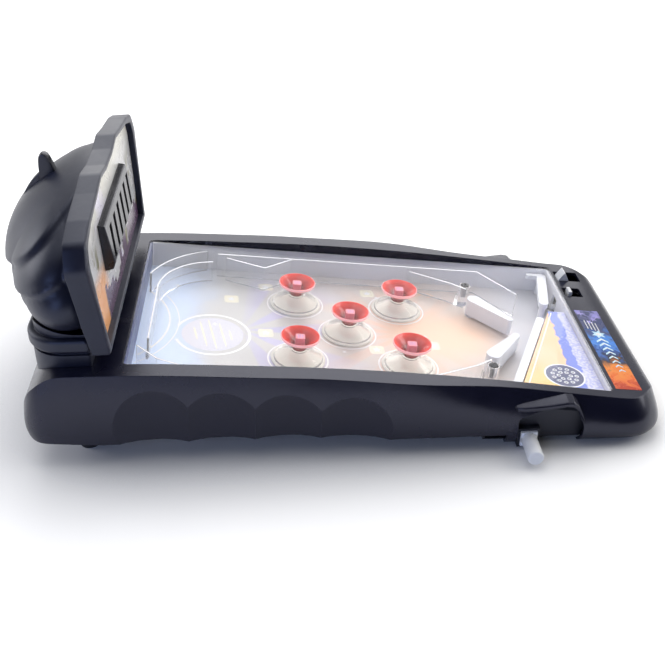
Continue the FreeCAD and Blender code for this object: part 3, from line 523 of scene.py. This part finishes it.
# ----------------------------------------------------------
# White mouldings: bumper bases, flippers, trough bar, launch bridge and lever, switch knob and side buttons.
# They are satin white styrene, faintly bluish, with soft corners. The glass lamps, the steel ball and the speaker's
# paper cone get their finishes here too.
satin_white = moulded("satin_white", (0.74, 0.75, 0.78), (0.86, 0.86, 0.86), 0.34, dust=0.04, bevel=0.0004)
dress("left_flipper right_flipper trough_bar launch_bridge launcher switch_knob", satin_white)
button_white = moulded("button_white", (0.90, 0.92, 0.96), (0.8, 0.8, 0.82), 0.38, dust=0.03, bevel=0.0006)
dress("left_button right_button", button_white)
base_white = moulded("base_white", (0.80, 0.78, 0.70), (0.86, 0.86, 0.84), 0.36, dust=0.03)
dress(" ".join(f"bumper_{i}_base" for i in range(1, 6)), base_white)
dress("bumper_lamps score_lamps", clear("lamp_glass", (1.0, 0.96, 0.9), 0.1, 0.0001))
dress("steel_ball", metal("ball_steel", (0.78, 0.78, 0.8), 0.06, 200.0))
dress("speaker", moulded("speaker_cone", (0.04, 0.04, 0.042), (0.08, 0.08, 0.08), 0.7, dust=0.0, grain=700.0))

# ----------------------------------------------------------
# Return springs: wound from thin spring wire, one behind each side button and one behind the launch lever.
# The wire goes round in a helix, closer at both ends.
spring_wire = metal("spring_wire", (0.62, 0.61, 0.58), 0.22, 500.0)


def wrapped_faces(rows, columns):
    """Quads of a grid whose columns close on themselves: two neighbours of one row, then those of the next."""
    i, j = np.meshgrid(np.arange(rows - 1), np.arange(columns), indexing="ij")
    k = (j + 1) % columns
    return np.stack([i * columns + j, i * columns + k, (i + 1) * columns + k, (i + 1) * columns + j],
                    -1).reshape(-1, 4).tolist()


def tube_faces(rows, columns):
    """The quads of a wrapped grid, and one face over each of its ends."""
    last = (rows - 1) * columns
    return wrapped_faces(rows, columns) + [list(range(columns))[::-1], list(range(last, last + columns))]


def coil_spring(name, start, end, radius, wire, turns):
    """Helix from start to end: angle = 2 pi turns t, rise = t - 0.6 sin(2 pi t) / 2 pi, so that both ends lie closer.

    The tube's section is a circle across the helix's own direction. Lengths are in metres.
    """
    start, end = np.array(start), np.array(end)
    share = np.linspace(0, 1, int(turns * 20))
    rise = share - 0.6 * np.sin(2 * math.pi * share) / (2 * math.pi)
    along = (end - start) / np.linalg.norm(end - start)
    side = np.cross(along, (0.0, 0.0, 1.0))
    side /= np.linalg.norm(side)
    other = np.cross(along, side)
    angle = 2 * math.pi * turns * share
    outward = np.cos(angle)[:, None] * side + np.sin(angle)[:, None] * other
    line = start + (end - start) * rise[:, None] + outward * radius
    ahead = np.gradient(line, axis=0)
    ahead /= np.linalg.norm(ahead, axis=1)[:, None]
    across = np.cross(ahead, outward)
    section = np.linspace(0, 2 * math.pi, 8, endpoint=False)
    tube = (line[:, None] + wire / 2 * (np.cos(section)[None, :, None] * outward[:, None]
                                        + np.sin(section)[None, :, None] * across[:, None]))
    piece = new_piece(name + "_wire", tube, tube_faces(len(share), 8), spring_wire, smooth=True)
    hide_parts(name)
    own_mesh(piece)


for side, sign in (("left", -1), ("right", 1)):
    low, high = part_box(f"{side}_button_spring")
    x, z = (low[0] + high[0]) / 2, (low[2] + high[2]) / 2
    coil_spring(f"{side}_button_spring", (x, sign * 0.0923, z), (x, sign * 0.0625, z), 0.00265, 0.0008, 9)
coil_spring("launcher_spring", on_table(333.5, 51.4, -16.6), on_table(347.2, 51.4, -16.6), 0.0028, 0.0007, 7)

# ----------------------------------------------------------
# Front panel: a raised moulding beside the trough bar with the speaker under it. It is printed peach, with a
# blue band along the player's edge and a dark spot round the speaker's holes.
def hole_rings(tree, away, bearing, ring, count):
    """White dots for a circle of holes: how near a place is to the middle of the next hole, in millimetres."""
    turn = maths(tree, "MULTIPLY_ADD", bearing, count / (2 * math.pi), 0.5)
    part = maths(tree, "FLOORED_MODULO", turn, 1.0)
    aside = maths(tree, "MULTIPLY_ADD", part, 2 * math.pi * ring / count, -math.pi * ring / count)
    far = node(tree, "CombineXYZ", {0: aside, 1: maths(tree, "SUBTRACT", away, ring)}).outputs[0]
    return between(tree, arrow_maths(tree, "LENGTH", far), 1.7, 1.45)


def make_panel_print():
    """Peach with a jagged blue band beside the player's edge, and a dark disc round the speaker's holes."""
    material, tree, shader = new_material("panel_print_front")
    place = table_place(tree)
    axes = node(tree, "SeparateXYZ", {0: place}).outputs
    cloud = noise(tree, place, 0.03, 4.0)
    chips = node(tree, "TexVoronoi", {"Vector": place, "Scale": 0.16})
    past = maths(tree, "SUBTRACT", axes["X"], maths(tree, "MULTIPLY_ADD", axes["Y"], 6 / 105, 304.9))
    jag = maths(tree, "MULTIPLY_ADD", chips.outputs["Distance"], 5.0, past)
    peach = blended(tree, between(tree, axes["Y"], -40, -84), (0.95, 0.56, 0.32), (0.95, 0.60, 0.20))
    peach = blended(tree, between(tree, cloud, 0.35, 0.7, 0.0, 0.5), peach, (0.95, 0.70, 0.50))
    colour = blended(tree, between(tree, jag, 2.2, 2.8), peach, (0.22, 0.28, 0.72))
    specks = noise(tree, place, 0.5, 3.0)
    pale = blended(tree, between(tree, specks, 0.4, 0.62), (0.50, 0.52, 0.80), (0.72, 0.72, 0.84))
    colour = blended(tree, between(tree, jag, 9.5, 11.0), colour, pale)
    out = arrow_maths(tree, "SUBTRACT", place, (296.0, -64.0, -5.5))
    flat, away = node(tree, "SeparateXYZ", {0: out}).outputs, arrow_maths(tree, "LENGTH", out)
    bearing = maths(tree, "ARCTAN2", flat["Y"], flat["X"])
    colour = blended(tree, between(tree, away, 14.4, 14.1), colour, (0.86, 0.86, 0.90))
    colour = blended(tree, between(tree, away, 13.2, 12.9), colour, (0.12, 0.13, 0.22))
    for ring, count in ((4.2, 6), (8.4, 11)):
        colour = blended(tree, hole_rings(tree, away, bearing, ring, count), colour, (0.80, 0.80, 0.84))
    surfaced(tree, shader, colour, between(tree, specks, 0.3, 0.7, 0.28, 0.4), specks, 0.00001)
    return material


dress("front_panel", make_panel_print())
ink_layer("panel_edge_line", [bar((264.6, -84), (308.6, 22), 0.9)], -5.46, white_ink)

# ----------------------------------------------------------
# Bumper caps: dished red polycarbonate, thick in the stem and thin at the rolled rim. They are pressed into the
# skirts. In each dish stands a pink square with three lilac bars, a painted reflection of a bright window, which
# glows a little; the caps' red carries painted shade in the dish and a painted highlight on the rim.
CAP_LINE = np.array([(0, -12.6), (5, -12.6), (5.6, -10.5), (6.4, -8.8), (8.4, -6.9), (11, -5.3), (12.9, -4.4),
                     (13.6, -3.5), (13.8, -2.6), (13.7, -2.1), (13.3, -1.8), (12.9, -1.85), (12.4, -2.3),
                     (11.2, -3.3), (9.2, -4.6), (7, -6.2), (5.4, -7.8), (4.2, -9), (2, -9.6), (0, -9.7)])


def cut_corners(line, rounds=2):
    """Rounds a line: every run gives way to its points at one and three quarters, round after round."""
    for _ in range(rounds):
        pairs = np.stack([0.75 * line[:-1] + 0.25 * line[1:], 0.25 * line[:-1] + 0.75 * line[1:]], 1)
        line = np.concatenate([line[:1], pairs.reshape(-1, 2), line[-1:]])
    return line


def poled_faces(rows, columns):
    """The quads of a wrapped grid, and a fan from each end to its pole; the poles are the two points after the grid."""
    j = np.arange(columns)
    k, last, pole = (j + 1) % columns, (rows - 1) * columns, rows * columns
    fans = [np.stack([pole + 0 * j, k, j], -1), np.stack([pole + 1 + 0 * j, last + j, last + k], -1)]
    return wrapped_faces(rows, columns) + np.concatenate(fans).tolist()


CAP_STEPS = 72


def spun(line, centre):
    """Surface of revolution on the table: radius and height of a line, turned round; both ends lie on the axis."""
    turns = np.linspace(0, 2 * math.pi, CAP_STEPS, endpoint=False)
    radius, height = line[1:-1].T
    u = centre[0] + radius[:, None] * np.cos(turns)
    v = centre[1] + radius[:, None] * np.sin(turns)
    wall = on_table(u, v, height[:, None]).reshape(-1, 3)
    poles = on_table(centre[0], centre[1], line[[0, -1], 1])
    return np.concatenate([wall, poles]), poled_faces(len(radius), CAP_STEPS)


def make_cap_red():
    """Red painted darker towards the stem as painted shade in the dish, pale pink at the thin rolled rim as a painted
    highlight, and a faint painted glow.
    """
    material, tree, shader = new_material("cap_red")
    reach = node(tree, "Attribute", attribute_name="reach").outputs["Fac"]
    cloud = noise(tree, object_place(tree), 160.0)
    # Painted shade: the red is darkest in the deep middle of the dish.
    colour = blended(tree, between(tree, reach, 5.0, 8.5), (0.16, 0.001, 0.001), (0.42, 0.006, 0.004))
    colour = blended(tree, between(tree, reach, 9.0, 12.8), colour, (0.70, 0.035, 0.018))
    # Painted highlight: the thin rolled rim is pale pink.
    colour = blended(tree, between(tree, reach, 13.0, 13.4), colour, (0.88, 0.40, 0.42))
    uneven = scaled(tree, colour, between(tree, cloud, 0.3, 0.7, 0.93, 1.07))
    surfaced(tree, shader, uneven, between(tree, cloud, 0.3, 0.7, 0.06, 0.12), cloud, 0.00006)
    # Painted glow: the cap gives off a little light of its own colour, though no lamp under it is lit.
    tree.links.new(uneven, shader.inputs["Emission Color"])
    put(shader, Emission_Strength=0.22)
    return material


cap_red = make_cap_red()
cap_line = cut_corners(CAP_LINE)
for number, centre in enumerate(BUMPERS, 1):
    points, faces = spun(cap_line, centre)
    cap = new_piece(f"bumper_{number}_dish", points, faces, cap_red, smooth=True)
    reach = np.concatenate([np.repeat(cap_line[1:-1, 0], CAP_STEPS), [0, 0]])
    cap.data.attributes.new("reach", "FLOAT", "POINT").data.foreach_set("value", reach)
    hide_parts(f"bumper_{number}_cap")


def posts(shapes, low, high, place=on_table):
    """Upright prisms: each outline at two heights, with its wall and both ends."""
    points, faces, first = [], [], 0
    for shape in shapes:
        shape, count = counter_clockwise(np.asarray(shape, float)), len(shape)
        points += [place(shape[:, 0], shape[:, 1], low), place(shape[:, 0], shape[:, 1], high)]
        j = np.arange(count)
        wall = np.stack([j, (j + 1) % count, (j + 1) % count + count, j + count], -1) + first
        faces += wall.tolist() + [(j[::-1] + first).tolist(), (j + count + first).tolist()]
        first += 2 * count
    return np.concatenate(points), faces


# Painted reflection: a glowing pink square post in each dish, with three lilac bars over it, stands in for a bright
# window reflected in the cap.
points, faces = posts([soft_square(b, 6.6, 6.6, 0.0, 7.0) for b in BUMPERS], -9.9, -2.6)
window_reflection_pink = ink("window_reflection_pink", (0.60, 0.15, 0.20), shine=0.25)
put(window_reflection_pink.node_tree.nodes["Principled BSDF"], Emission_Color=(0.80, 0.24, 0.30, 1), Emission_Strength=0.2)
new_piece("bumper_light_guides", points, faces, window_reflection_pink)
ink_layer("window_reflection_bars", [bar((u + 1.5 * k, v - 2.3), (u + 1.5 * k, v + 2.3), 0.4)
                                for u, v in BUMPERS for k in (-1, 0, 1)], -2.56, lilac_ink)

# ----------------------------------------------------------
# Apron label: a printed foil on the apron beside the slots, dark blue with a pale comet and thin lines, a blue glow
# in the middle and an orange fire at the near end. It carries no words.
def make_label_print():
    """Colours in order along the label, their borders shifted by smoke."""
    material, tree, shader = new_material("label_print")
    place = table_place(tree)
    smoke = noise(tree, place, 0.13, 5.0, distortion=0.8)
    along = maths(tree, "MULTIPLY_ADD", smoke, 44.0, node(tree, "SeparateXYZ", {0: place}).outputs["Y"])
    tint = node(tree, "ValToRGB", {0: ramp(tree, along, 42.0, -63.0)})
    marks = ((0.0, (0.26, 0.24, 0.62)), (0.10, (0.03, 0.04, 0.14)), (0.28, (0.02, 0.04, 0.16)),
             (0.42, (0.05, 0.26, 0.80)), (0.56, (0.02, 0.09, 0.36)), (0.66, (0.012, 0.010, 0.02)),
             (0.76, (0.90, 0.27, 0.03)), (0.90, (0.85, 0.16, 0.02)), (1.0, (0.55, 0.05, 0.01)))
    stops = tint.color_ramp.elements
    while len(stops) < len(marks):
        stops.new(0.5)
    for stop, (at, colour) in zip(stops, marks):
        stop.position, stop.color = at, (*colour, 1)
    surfaced(tree, shader, tint.outputs[0], between(tree, smoke, 0.3, 0.7, 0.24, 0.34), smoke, 0.00001)
    return material


def chevron(centre, size):
    """Arrow stroke that points up the apron: two bars that meet, as one outline of six corners."""
    shape = np.array([(-1.0, -0.42), (0, 0.5), (1.0, -0.42), (1.0, -0.95), (0, -0.05), (-1.0, -0.95)])
    return shape * size + centre


label_corners = [(324.6, 19.5), (342.8, 19.5), (342.8, -84.5), (324.6, -84.5)]
points, faces = posts([label_corners], 0.02, 0.12)
new_piece("apron_label", points, faces, make_label_print())
comet_ink = ink("comet_ink", (0.55, 0.80, 0.95), shine=0.3)
ink_layer("label_comet", [star((333.7, -14.5), 5.6, 3.0, 6, 0.3)]
          + [chevron((333.7 + 0.35 * k, -22 - 5.6 * k), 4.4 - 0.3 * k) for k in range(8)], 0.14, comet_ink)
ink_layer("label_comet_core", [star((333.7, -14.5), 2.8, 1.3, 6, 0.3)]
          + [chevron((333.9 + 0.35 * k, -22 - 5.6 * k), 2.4 - 0.2 * k) for k in range(8)], 0.16, white_ink)
ink_layer("label_lines", [bar((328.2 + 2.5 * k, 5 - 1.2 * k), (328.2 + 2.5 * k, -7 - 1.2 * k), 0.6) for k in range(4)],
          0.14, white_ink)
ink_layer("label_flakes", [star((327.5 + 4.2 * k, 15 - 4 * (k * 3 % 4)), 3.4, 1.2, 5, 0.9 * k) for k in range(4)],
          0.13, lilac_ink)

# ----------------------------------------------------------
# Head: an upright frame moulded in the cabinet's black, a shade bluer, with a stepped top edge. The picture lies in
# its opening, and the frame is screwed to the dome behind it, which stands on the neck.
head_black = moulded("head_black", (0.008, 0.009, 0.022), (0.035, 0.035, 0.05), 0.40, dust=0.03, bevel=0.0008)
put(head_black.node_tree.nodes["Principled BSDF"], Specular_Tint=(0.74, 0.80, 1.0, 1))
dress("head_frame head_neck head_shell", head_black)
gloss_black = moulded("gloss_black", (0.012, 0.012, 0.015), (0.04, 0.04, 0.045), 0.22, dust=0.05, bevel=0.0005)
dress("head_crest score_box head_panel", gloss_black)
HEAD_FOOT = (-0.14257, 0.0824)
HEAD_LEAN = math.radians(2.7)
FRAME_DEEP = 13.2


def on_head(across, up, out):
    """Metres in the game's frame from millimetres on the head: across, up its face and out of its face."""
    across, up, out = np.broadcast_arrays(np.asarray(across, float), up, out)
    x = HEAD_FOOT[0] + (out * math.cos(HEAD_LEAN) - up * math.sin(HEAD_LEAN)) / 1000
    z = HEAD_FOOT[1] + (out * math.sin(HEAD_LEAN) + up * math.cos(HEAD_LEAN)) / 1000
    return np.stack([x, across / 1000, z], -1)


FRAME_EDGE = [(101.5, 0, 2), (106.6, 30, 90), (117.8, 66, 9), (109.5, 79.5, 9), (88, 84.6, 22), (57, 87.9, 22),
              (35, 91.4, 22), (14, 88.6, 22)]
OPENING_EDGE = [(95, 3, 2), (103, 36, 70), (107, 66, 7), (103, 75, 7), (84, 80.5, 16), (57, 84.2, 20),
                (35, 87.6, 20), (14, 84.9, 20)]


def rounded(half, steps=14):
    """Closed outline from its right half: each corner gives way to the curve (1-t)^2 A + 2t(1-t) C + t^2 B."""
    corners = np.array(half + [(-a, b, r) for a, b, r in half[::-1]], float)
    here, radius = corners[:, :2], corners[:, 2:]
    back, ahead = np.roll(here, 1, 0) - here, np.roll(here, -1, 0) - here
    runs = np.linalg.norm(back, axis=1)[:, None], np.linalg.norm(ahead, axis=1)[:, None]
    back, ahead = back / runs[0], ahead / runs[1]
    angle = np.arccos(np.clip((back * ahead).sum(1), -1, 1))[:, None] / 2
    cut = np.minimum(radius / np.tan(angle), 0.48 * np.minimum(*runs))
    t = np.linspace(0, 1, steps)[None, :, None]
    first, corner, second = (here + back * cut)[:, None], here[:, None], (here + ahead * cut)[:, None]
    return ((1 - t) ** 2 * first + 2 * t * (1 - t) * corner + t ** 2 * second).reshape(-1, 2)


def sharpened(piece, angle):
    """Smooth shading that stays sharp over edges of more than an angle in degrees."""
    piece.data.polygons.foreach_set("use_smooth", [True] * len(piece.data.polygons))
    piece.data.set_sharp_from_angle(angle=math.radians(angle))


outer, inner = rounded(FRAME_EDGE), rounded(OPENING_EDGE)
deep = 11.0 + (FRAME_DEEP - 11.0) * np.clip(outer[:, 1] / 20, 0, 1)
frame_rows = []
for share, out in ((0.0, None), (0.0, -1.5), (0.06, -0.6), (0.22, -0.08), (0.5, 0.0), (0.85, -0.05), (0.97, -0.4),
                   (1.0, -1.0), (1.0, -6.0), (1.05, None)):
    edge = outer + (inner - outer) * share
    frame_rows.append(on_head(edge[:, 0], edge[:, 1], -deep if out is None else out))
# The last row joins the first again: its numbers run on past the last point and start over.
faces = np.array(wrapped_faces(len(frame_rows) + 1, len(outer))) % (len(frame_rows) * len(outer))
head_rim = new_piece("head_rim", np.stack(frame_rows), faces, head_black)
sharpened(head_rim, 40)
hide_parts("head_frame")


def make_picture():
    """Dawn picture behind the score box: pale sky above, a violet skyline along the foot and an orange dawn.

    The roofs are steps: a random height for each strip of the width.
    """
    material, tree, shader = new_material("picture_print")
    face = turned_place(tree, HEAD_FOOT, HEAD_LEAN)
    _, across, up = node(tree, "SeparateXYZ", {0: face}).outputs
    cloud = noise(tree, face, 0.05, 5.0, distortion=0.7)
    streak = node(tree, "TexWave", {"Vector": face, "Scale": 0.012, "Distortion": 6.0, "Detail": 3.0}).outputs["Fac"]
    colour = blended(tree, between(tree, up, 84, 56), (0.78, 0.76, 0.66), (0.60, 0.60, 0.62))
    colour = blended(tree, between(tree, streak, 0.55, 0.9), colour, (0.78, 0.75, 0.90))
    olive = times(tree, between(tree, cloud, 0.5, 0.62), between(tree, up, 66, 44))
    colour = blended(tree, olive, colour, (0.16, 0.15, 0.05))
    dawn = times(tree, between(tree, up, 46, 30), between(tree, across, -40, -62))
    colour = blended(tree, dawn, colour, (0.90, 0.42, 0.16))
    strip = maths(tree, "FLOOR", times(tree, across, 0.125))
    roof = node(tree, "TexWhiteNoise", {"W": strip}, noise_dimensions="1D").outputs["Value"]
    below = maths(tree, "SUBTRACT", maths(tree, "MULTIPLY_ADD", roof, 20.0, 8.0), up)
    town = times(tree, between(tree, below, -0.2, 0.2), between(tree, across, -64, -60))
    colour = blended(tree, town, colour, (0.11, 0.06, 0.12))
    surfaced(tree, shader, colour, between(tree, cloud, 0.3, 0.7, 0.22, 0.34), cloud, 0.00002)
    return material


points, faces = posts([inner + (inner - inner.mean(0)) * 0.012], -6.0, -4.6, place=on_head)
picture = new_piece("picture_panel", points, faces, make_picture())
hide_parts("head_panel")
points, faces = posts([inner + (inner - inner.mean(0)) * 0.03], -10.6, -8.9, place=on_head)
new_piece("rim_back_plate", points, faces, head_black)

# ----------------------------------------------------------
# Score box: a black box whose sloping face stands off the picture, with six slanted pockets over the score lamps.
# It is one moulding, clipped into the picture panel.
SCORE_HALF = 52.0
SLOT_LINES = np.array([-SCORE_HALF] + [c + e for c in -41 + 16.4 * np.arange(6) for e in (-3.3, 3.3)] + [SCORE_HALF])


def score_face(level, out, slant):
    """One line across the face: the pockets' sides lean by slant, the two ends stay upright."""
    lean = np.full(14, slant)
    lean[[0, -1]] = 0
    return on_head(SLOT_LINES + lean, level, out)


face_lines = [score_face(33.2, 0.9, -4.0), score_face(38.0, 2.8, -4.0), score_face(57.5, 0.7, 4.0),
              score_face(62.6, 0.1, 4.0)]
pocket_lines = [score_face(38.0, -1.2, -4.0), score_face(57.5, -3.3, 4.0)]
rear_lines = [score_face(32.0, -4.7, -4.0), score_face(63.6, -4.7, 4.0)]
points = np.concatenate(face_lines + pocket_lines + rear_lines)
foot, sill, lintel, top, pocket_low, pocket_high, rear_low, rear_high = 14 * np.arange(8)
faces = [(a + j, a + j + 1, c + j + 1, c + j) for a, c in ((foot, sill), (sill, lintel), (lintel, top))
         for j in range(13) if a != sill or j % 2 == 0]
for j in range(1, 13, 2):
    a, b, c, d = (row + j for row in (sill, lintel, pocket_low, pocket_high))
    faces += [(c, c + 1, d + 1, d), (a, a + 1, c + 1, c), (d, d + 1, b + 1, b), (a, c, d, b),
              (c + 1, a + 1, b + 1, d + 1)]
for a, c in ((rear_low, foot), (top, rear_high), (rear_high, rear_low)):
    faces += [(a + j, a + j + 1, c + j + 1, c + j) for j in range(13)]
faces += [(rear_low, foot, sill, lintel, top, rear_high),
          [row + 13 for row in (rear_low, rear_high, top, lintel, sill, foot)]]
score_front = new_piece("score_front", points, faces, gloss_black)
edge_round = score_front.modifiers.new("soft edges", "BEVEL")
edge_round.width, edge_round.segments, edge_round.limit_method = 0.0005, 2, "ANGLE"
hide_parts("score_box")

# ----------------------------------------------------------
# Dome: the back of the head, one thin black moulding shaped as three plates that overlap, each plate's lower lip
# sweeping down and back over the next. A horn with a low crest is clipped into its top.
DOME_LOBES = ((-143.3, 119.7, (69.3, 100.9, 51.3), -9.0), (-169.1, 123.8, (47.0, 97.8, 33.4), -53.3),
              (-164.1, 114.8, (41.1, 104.5, 41.2), -11.5))
DOME_LIPS = ((303.1, 0.90), (209.4, 0.50))
DOME_MIDDLE = np.array([-156.0, 0.0, 118.0])
DOME_WALL = 2.2
DRAWN = 6.57


def dome_reach(direction):
    """Distance from the dome's middle to its surface: the furthest of three tilted egg shapes, hollowed under each lip.

    Below a lip's plane the wall is set in by 4.2 e^(s/11), s being the height over the plane in millimetres; a smooth
    step from s = 2 to s = -2.5 rounds the lip.
    """
    reach = np.zeros(direction.shape[:-1])
    for x, z, radii, tilt in DOME_LOBES:
        c, s = math.cos(math.radians(tilt)), math.sin(math.radians(tilt))
        unturn = np.array([[c, 0, -s], [0, 1, 0], [s, 0, c]])
        start = unturn @ (DOME_MIDDLE - (x, 0, z)) / radii
        ray = direction @ unturn.T / radii
        a, b, c2 = (ray ** 2).sum(-1), ray @ start, start @ start - 1
        reach = np.maximum(reach, (-b + np.sqrt(np.maximum(b * b - a * c2, 0))) / a)
    set_in = 0
    place = DOME_MIDDLE + direction * reach[..., None]
    for height, slope in DOME_LIPS:
        s = (place[..., 2] - height - slope * place[..., 0]) / math.hypot(1, slope)
        t = np.clip((2.0 - s) / 4.5, 0, 1)
        set_in = set_in + 4.2 * t * t * (3 - 2 * t) * np.exp(np.minimum(s, 0) / 11)
    return reach - set_in


def dome_direction(bearing, turn):
    """Unit vectors: bearing away from straight back, turned about the game's length."""
    return np.stack([-np.cos(bearing), np.sin(bearing) * np.cos(turn), np.sin(bearing) * np.sin(turn)], -1)


# The dome ends where its surface meets the frame's back, found by halving the range of bearings on each turn.
turns = np.linspace(0, 2 * math.pi, 300, endpoint=False)
front = -(FRAME_DEEP - 1.2)
low, high = np.full(len(turns), 0.3), np.full(len(turns), 2.6)
for _ in range(40):
    bearing = (low + high) / 2
    direction = dome_direction(bearing, turns)
    place = DOME_MIDDLE + direction * dome_reach(direction)[:, None]
    out = ((place[:, 0] - DRAWN - 1000 * HEAD_FOOT[0]) * math.cos(HEAD_LEAN)
           + (place[:, 2] - 1000 * HEAD_FOOT[1]) * math.sin(HEAD_LEAN))
    low, high = np.where(out < front, bearing, low), np.where(out < front, high, bearing)
bearings = low[None, :] * np.linspace(0, 1, 235)[1:, None]
direction = dome_direction(bearings, np.broadcast_to(turns, bearings.shape))
reach = dome_reach(direction)[..., None]
skin = DOME_MIDDLE + direction * reach
lining = DOME_MIDDLE + direction[::-4] * (reach[::-4] - DOME_WALL)
straight_back = dome_direction(np.zeros(1), np.zeros(1))
tips = [DOME_MIDDLE + straight_back * (dome_reach(straight_back) - depth) for depth in (0, DOME_WALL)]
points = np.concatenate([part.reshape(-1, 3) for part in (skin, lining, *tips)]) - (DRAWN, 0, 0)
dome = new_piece("dome", points / 1000, poled_faces(len(skin) + len(lining), len(turns)), head_black)
sharpened(dome, 50)
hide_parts("head_shell")

HORN_LINE = np.array([(-187, 148), (-186.2, 160), (-185.6, 170), (-184.6, 173.8), (-182, 175.3), (-179.4, 174),
                      (-177.6, 170), (-174.6, 161), (-172, 150)])
CREST_LINE = np.array([(-181, 150), (-184, 162.5), (-188, 160.5), (-194, 154), (-200, 145), (-204, 137), (-200, 134)])


def fin(line, half):
    """Upright plate with soft edges: its outline shrinks towards the middle as it nears each face, as an ellipse."""
    line = cut_corners(line)
    middle = line.mean(0)
    steps = np.radians(np.linspace(-90, 90, 11))[:, None]
    shrink = 1 - 0.16 * (1 - np.abs(np.cos(steps)) ** 0.5)
    x, z = (middle[k] + (line[:, k] - middle[k]) * shrink for k in (0, 1))
    rings = np.stack([x - DRAWN, np.broadcast_to(half * np.sin(steps), x.shape), z], -1) / 1000
    return rings.reshape(-1, 3), tube_faces(len(steps), len(line))


horn_points, horn_faces = fin(HORN_LINE, 3.6)
crest_points, crest_faces = fin(CREST_LINE, 2.6)
faces = horn_faces + [[p + len(horn_points) for p in face] for face in crest_faces]
horn = new_piece("horn", np.concatenate([horn_points, crest_points]), faces, gloss_black)
sharpened(horn, 45)
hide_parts("head_crest")

# ----------------------------------------------------------
# Brow: the lip that the side of the cabinet puts out over each button's notch. It rises forward, stands a few
# millimetres proud and turns down at its front end.
BROW = np.array([(118.2, 101.6, 33.2, 102.4, 32.8, 31.6), (119.5, 100.4, 33.8, 104.0, 33.0, 30.2),
                 (124, 99.4, 34.6, 105.2, 33.6, 30.0), (138, 96.9, 36.2, 106.0, 35.1, 31.6),
                 (152, 94.8, 37.5, 105.6, 36.6, 33.4), (156.5, 94.8, 37.0, 105.0, 36.0, 32.4),
                 (160.2, 96.4, 33.6, 104.4, 32.6, 28.8), (163.5, 99.0, 27.0, 104.4, 26.0, 23.0),
                 (166.2, 101.0, 18.0, 104.6, 17.6, 16.0)])
stations = np.concatenate([np.linspace(a, b, 7, endpoint=False) for a, b in zip(BROW[:-1, 0], BROW[1:, 0])]
                          + [BROW[-1:, 0]])
root_y, root_z, lip_y, lip_z, under = (np.interp(stations, BROW[:, 0], BROW[:, k]) for k in range(1, 6))
brow_rows = [(root_y, root_z), (lip_y - 1.6, lip_z + 0.12), (lip_y - 0.5, lip_z - 0.1), (lip_y, lip_z - 0.8),
             (lip_y - 0.5, under), (root_y + 0.6, under)]
for side, sign in (("left", -1), ("right", 1)):
    ring = np.stack([np.stack([stations - DRAWN, sign * y, z], -1) / 1000 for y, z in brow_rows], 1)
    faces = [face[::-sign] for face in tube_faces(len(stations), len(brow_rows))]
    brow = new_piece(f"{side}_brow", ring, faces, cabinet_black)
    sharpened(brow, 50)

# ----------------------------------------------------------
# Clear cover: a flat sheet of clear acrylic let into the cabinet over the playfield, held under the edge of the
# rails. Nearly all light goes through it, so its own gloss is faint.
dress("playfield_cover", clear("clear_cover", (0.99, 0.99, 1.0), 0.02, 0.00005, ior=1.14))
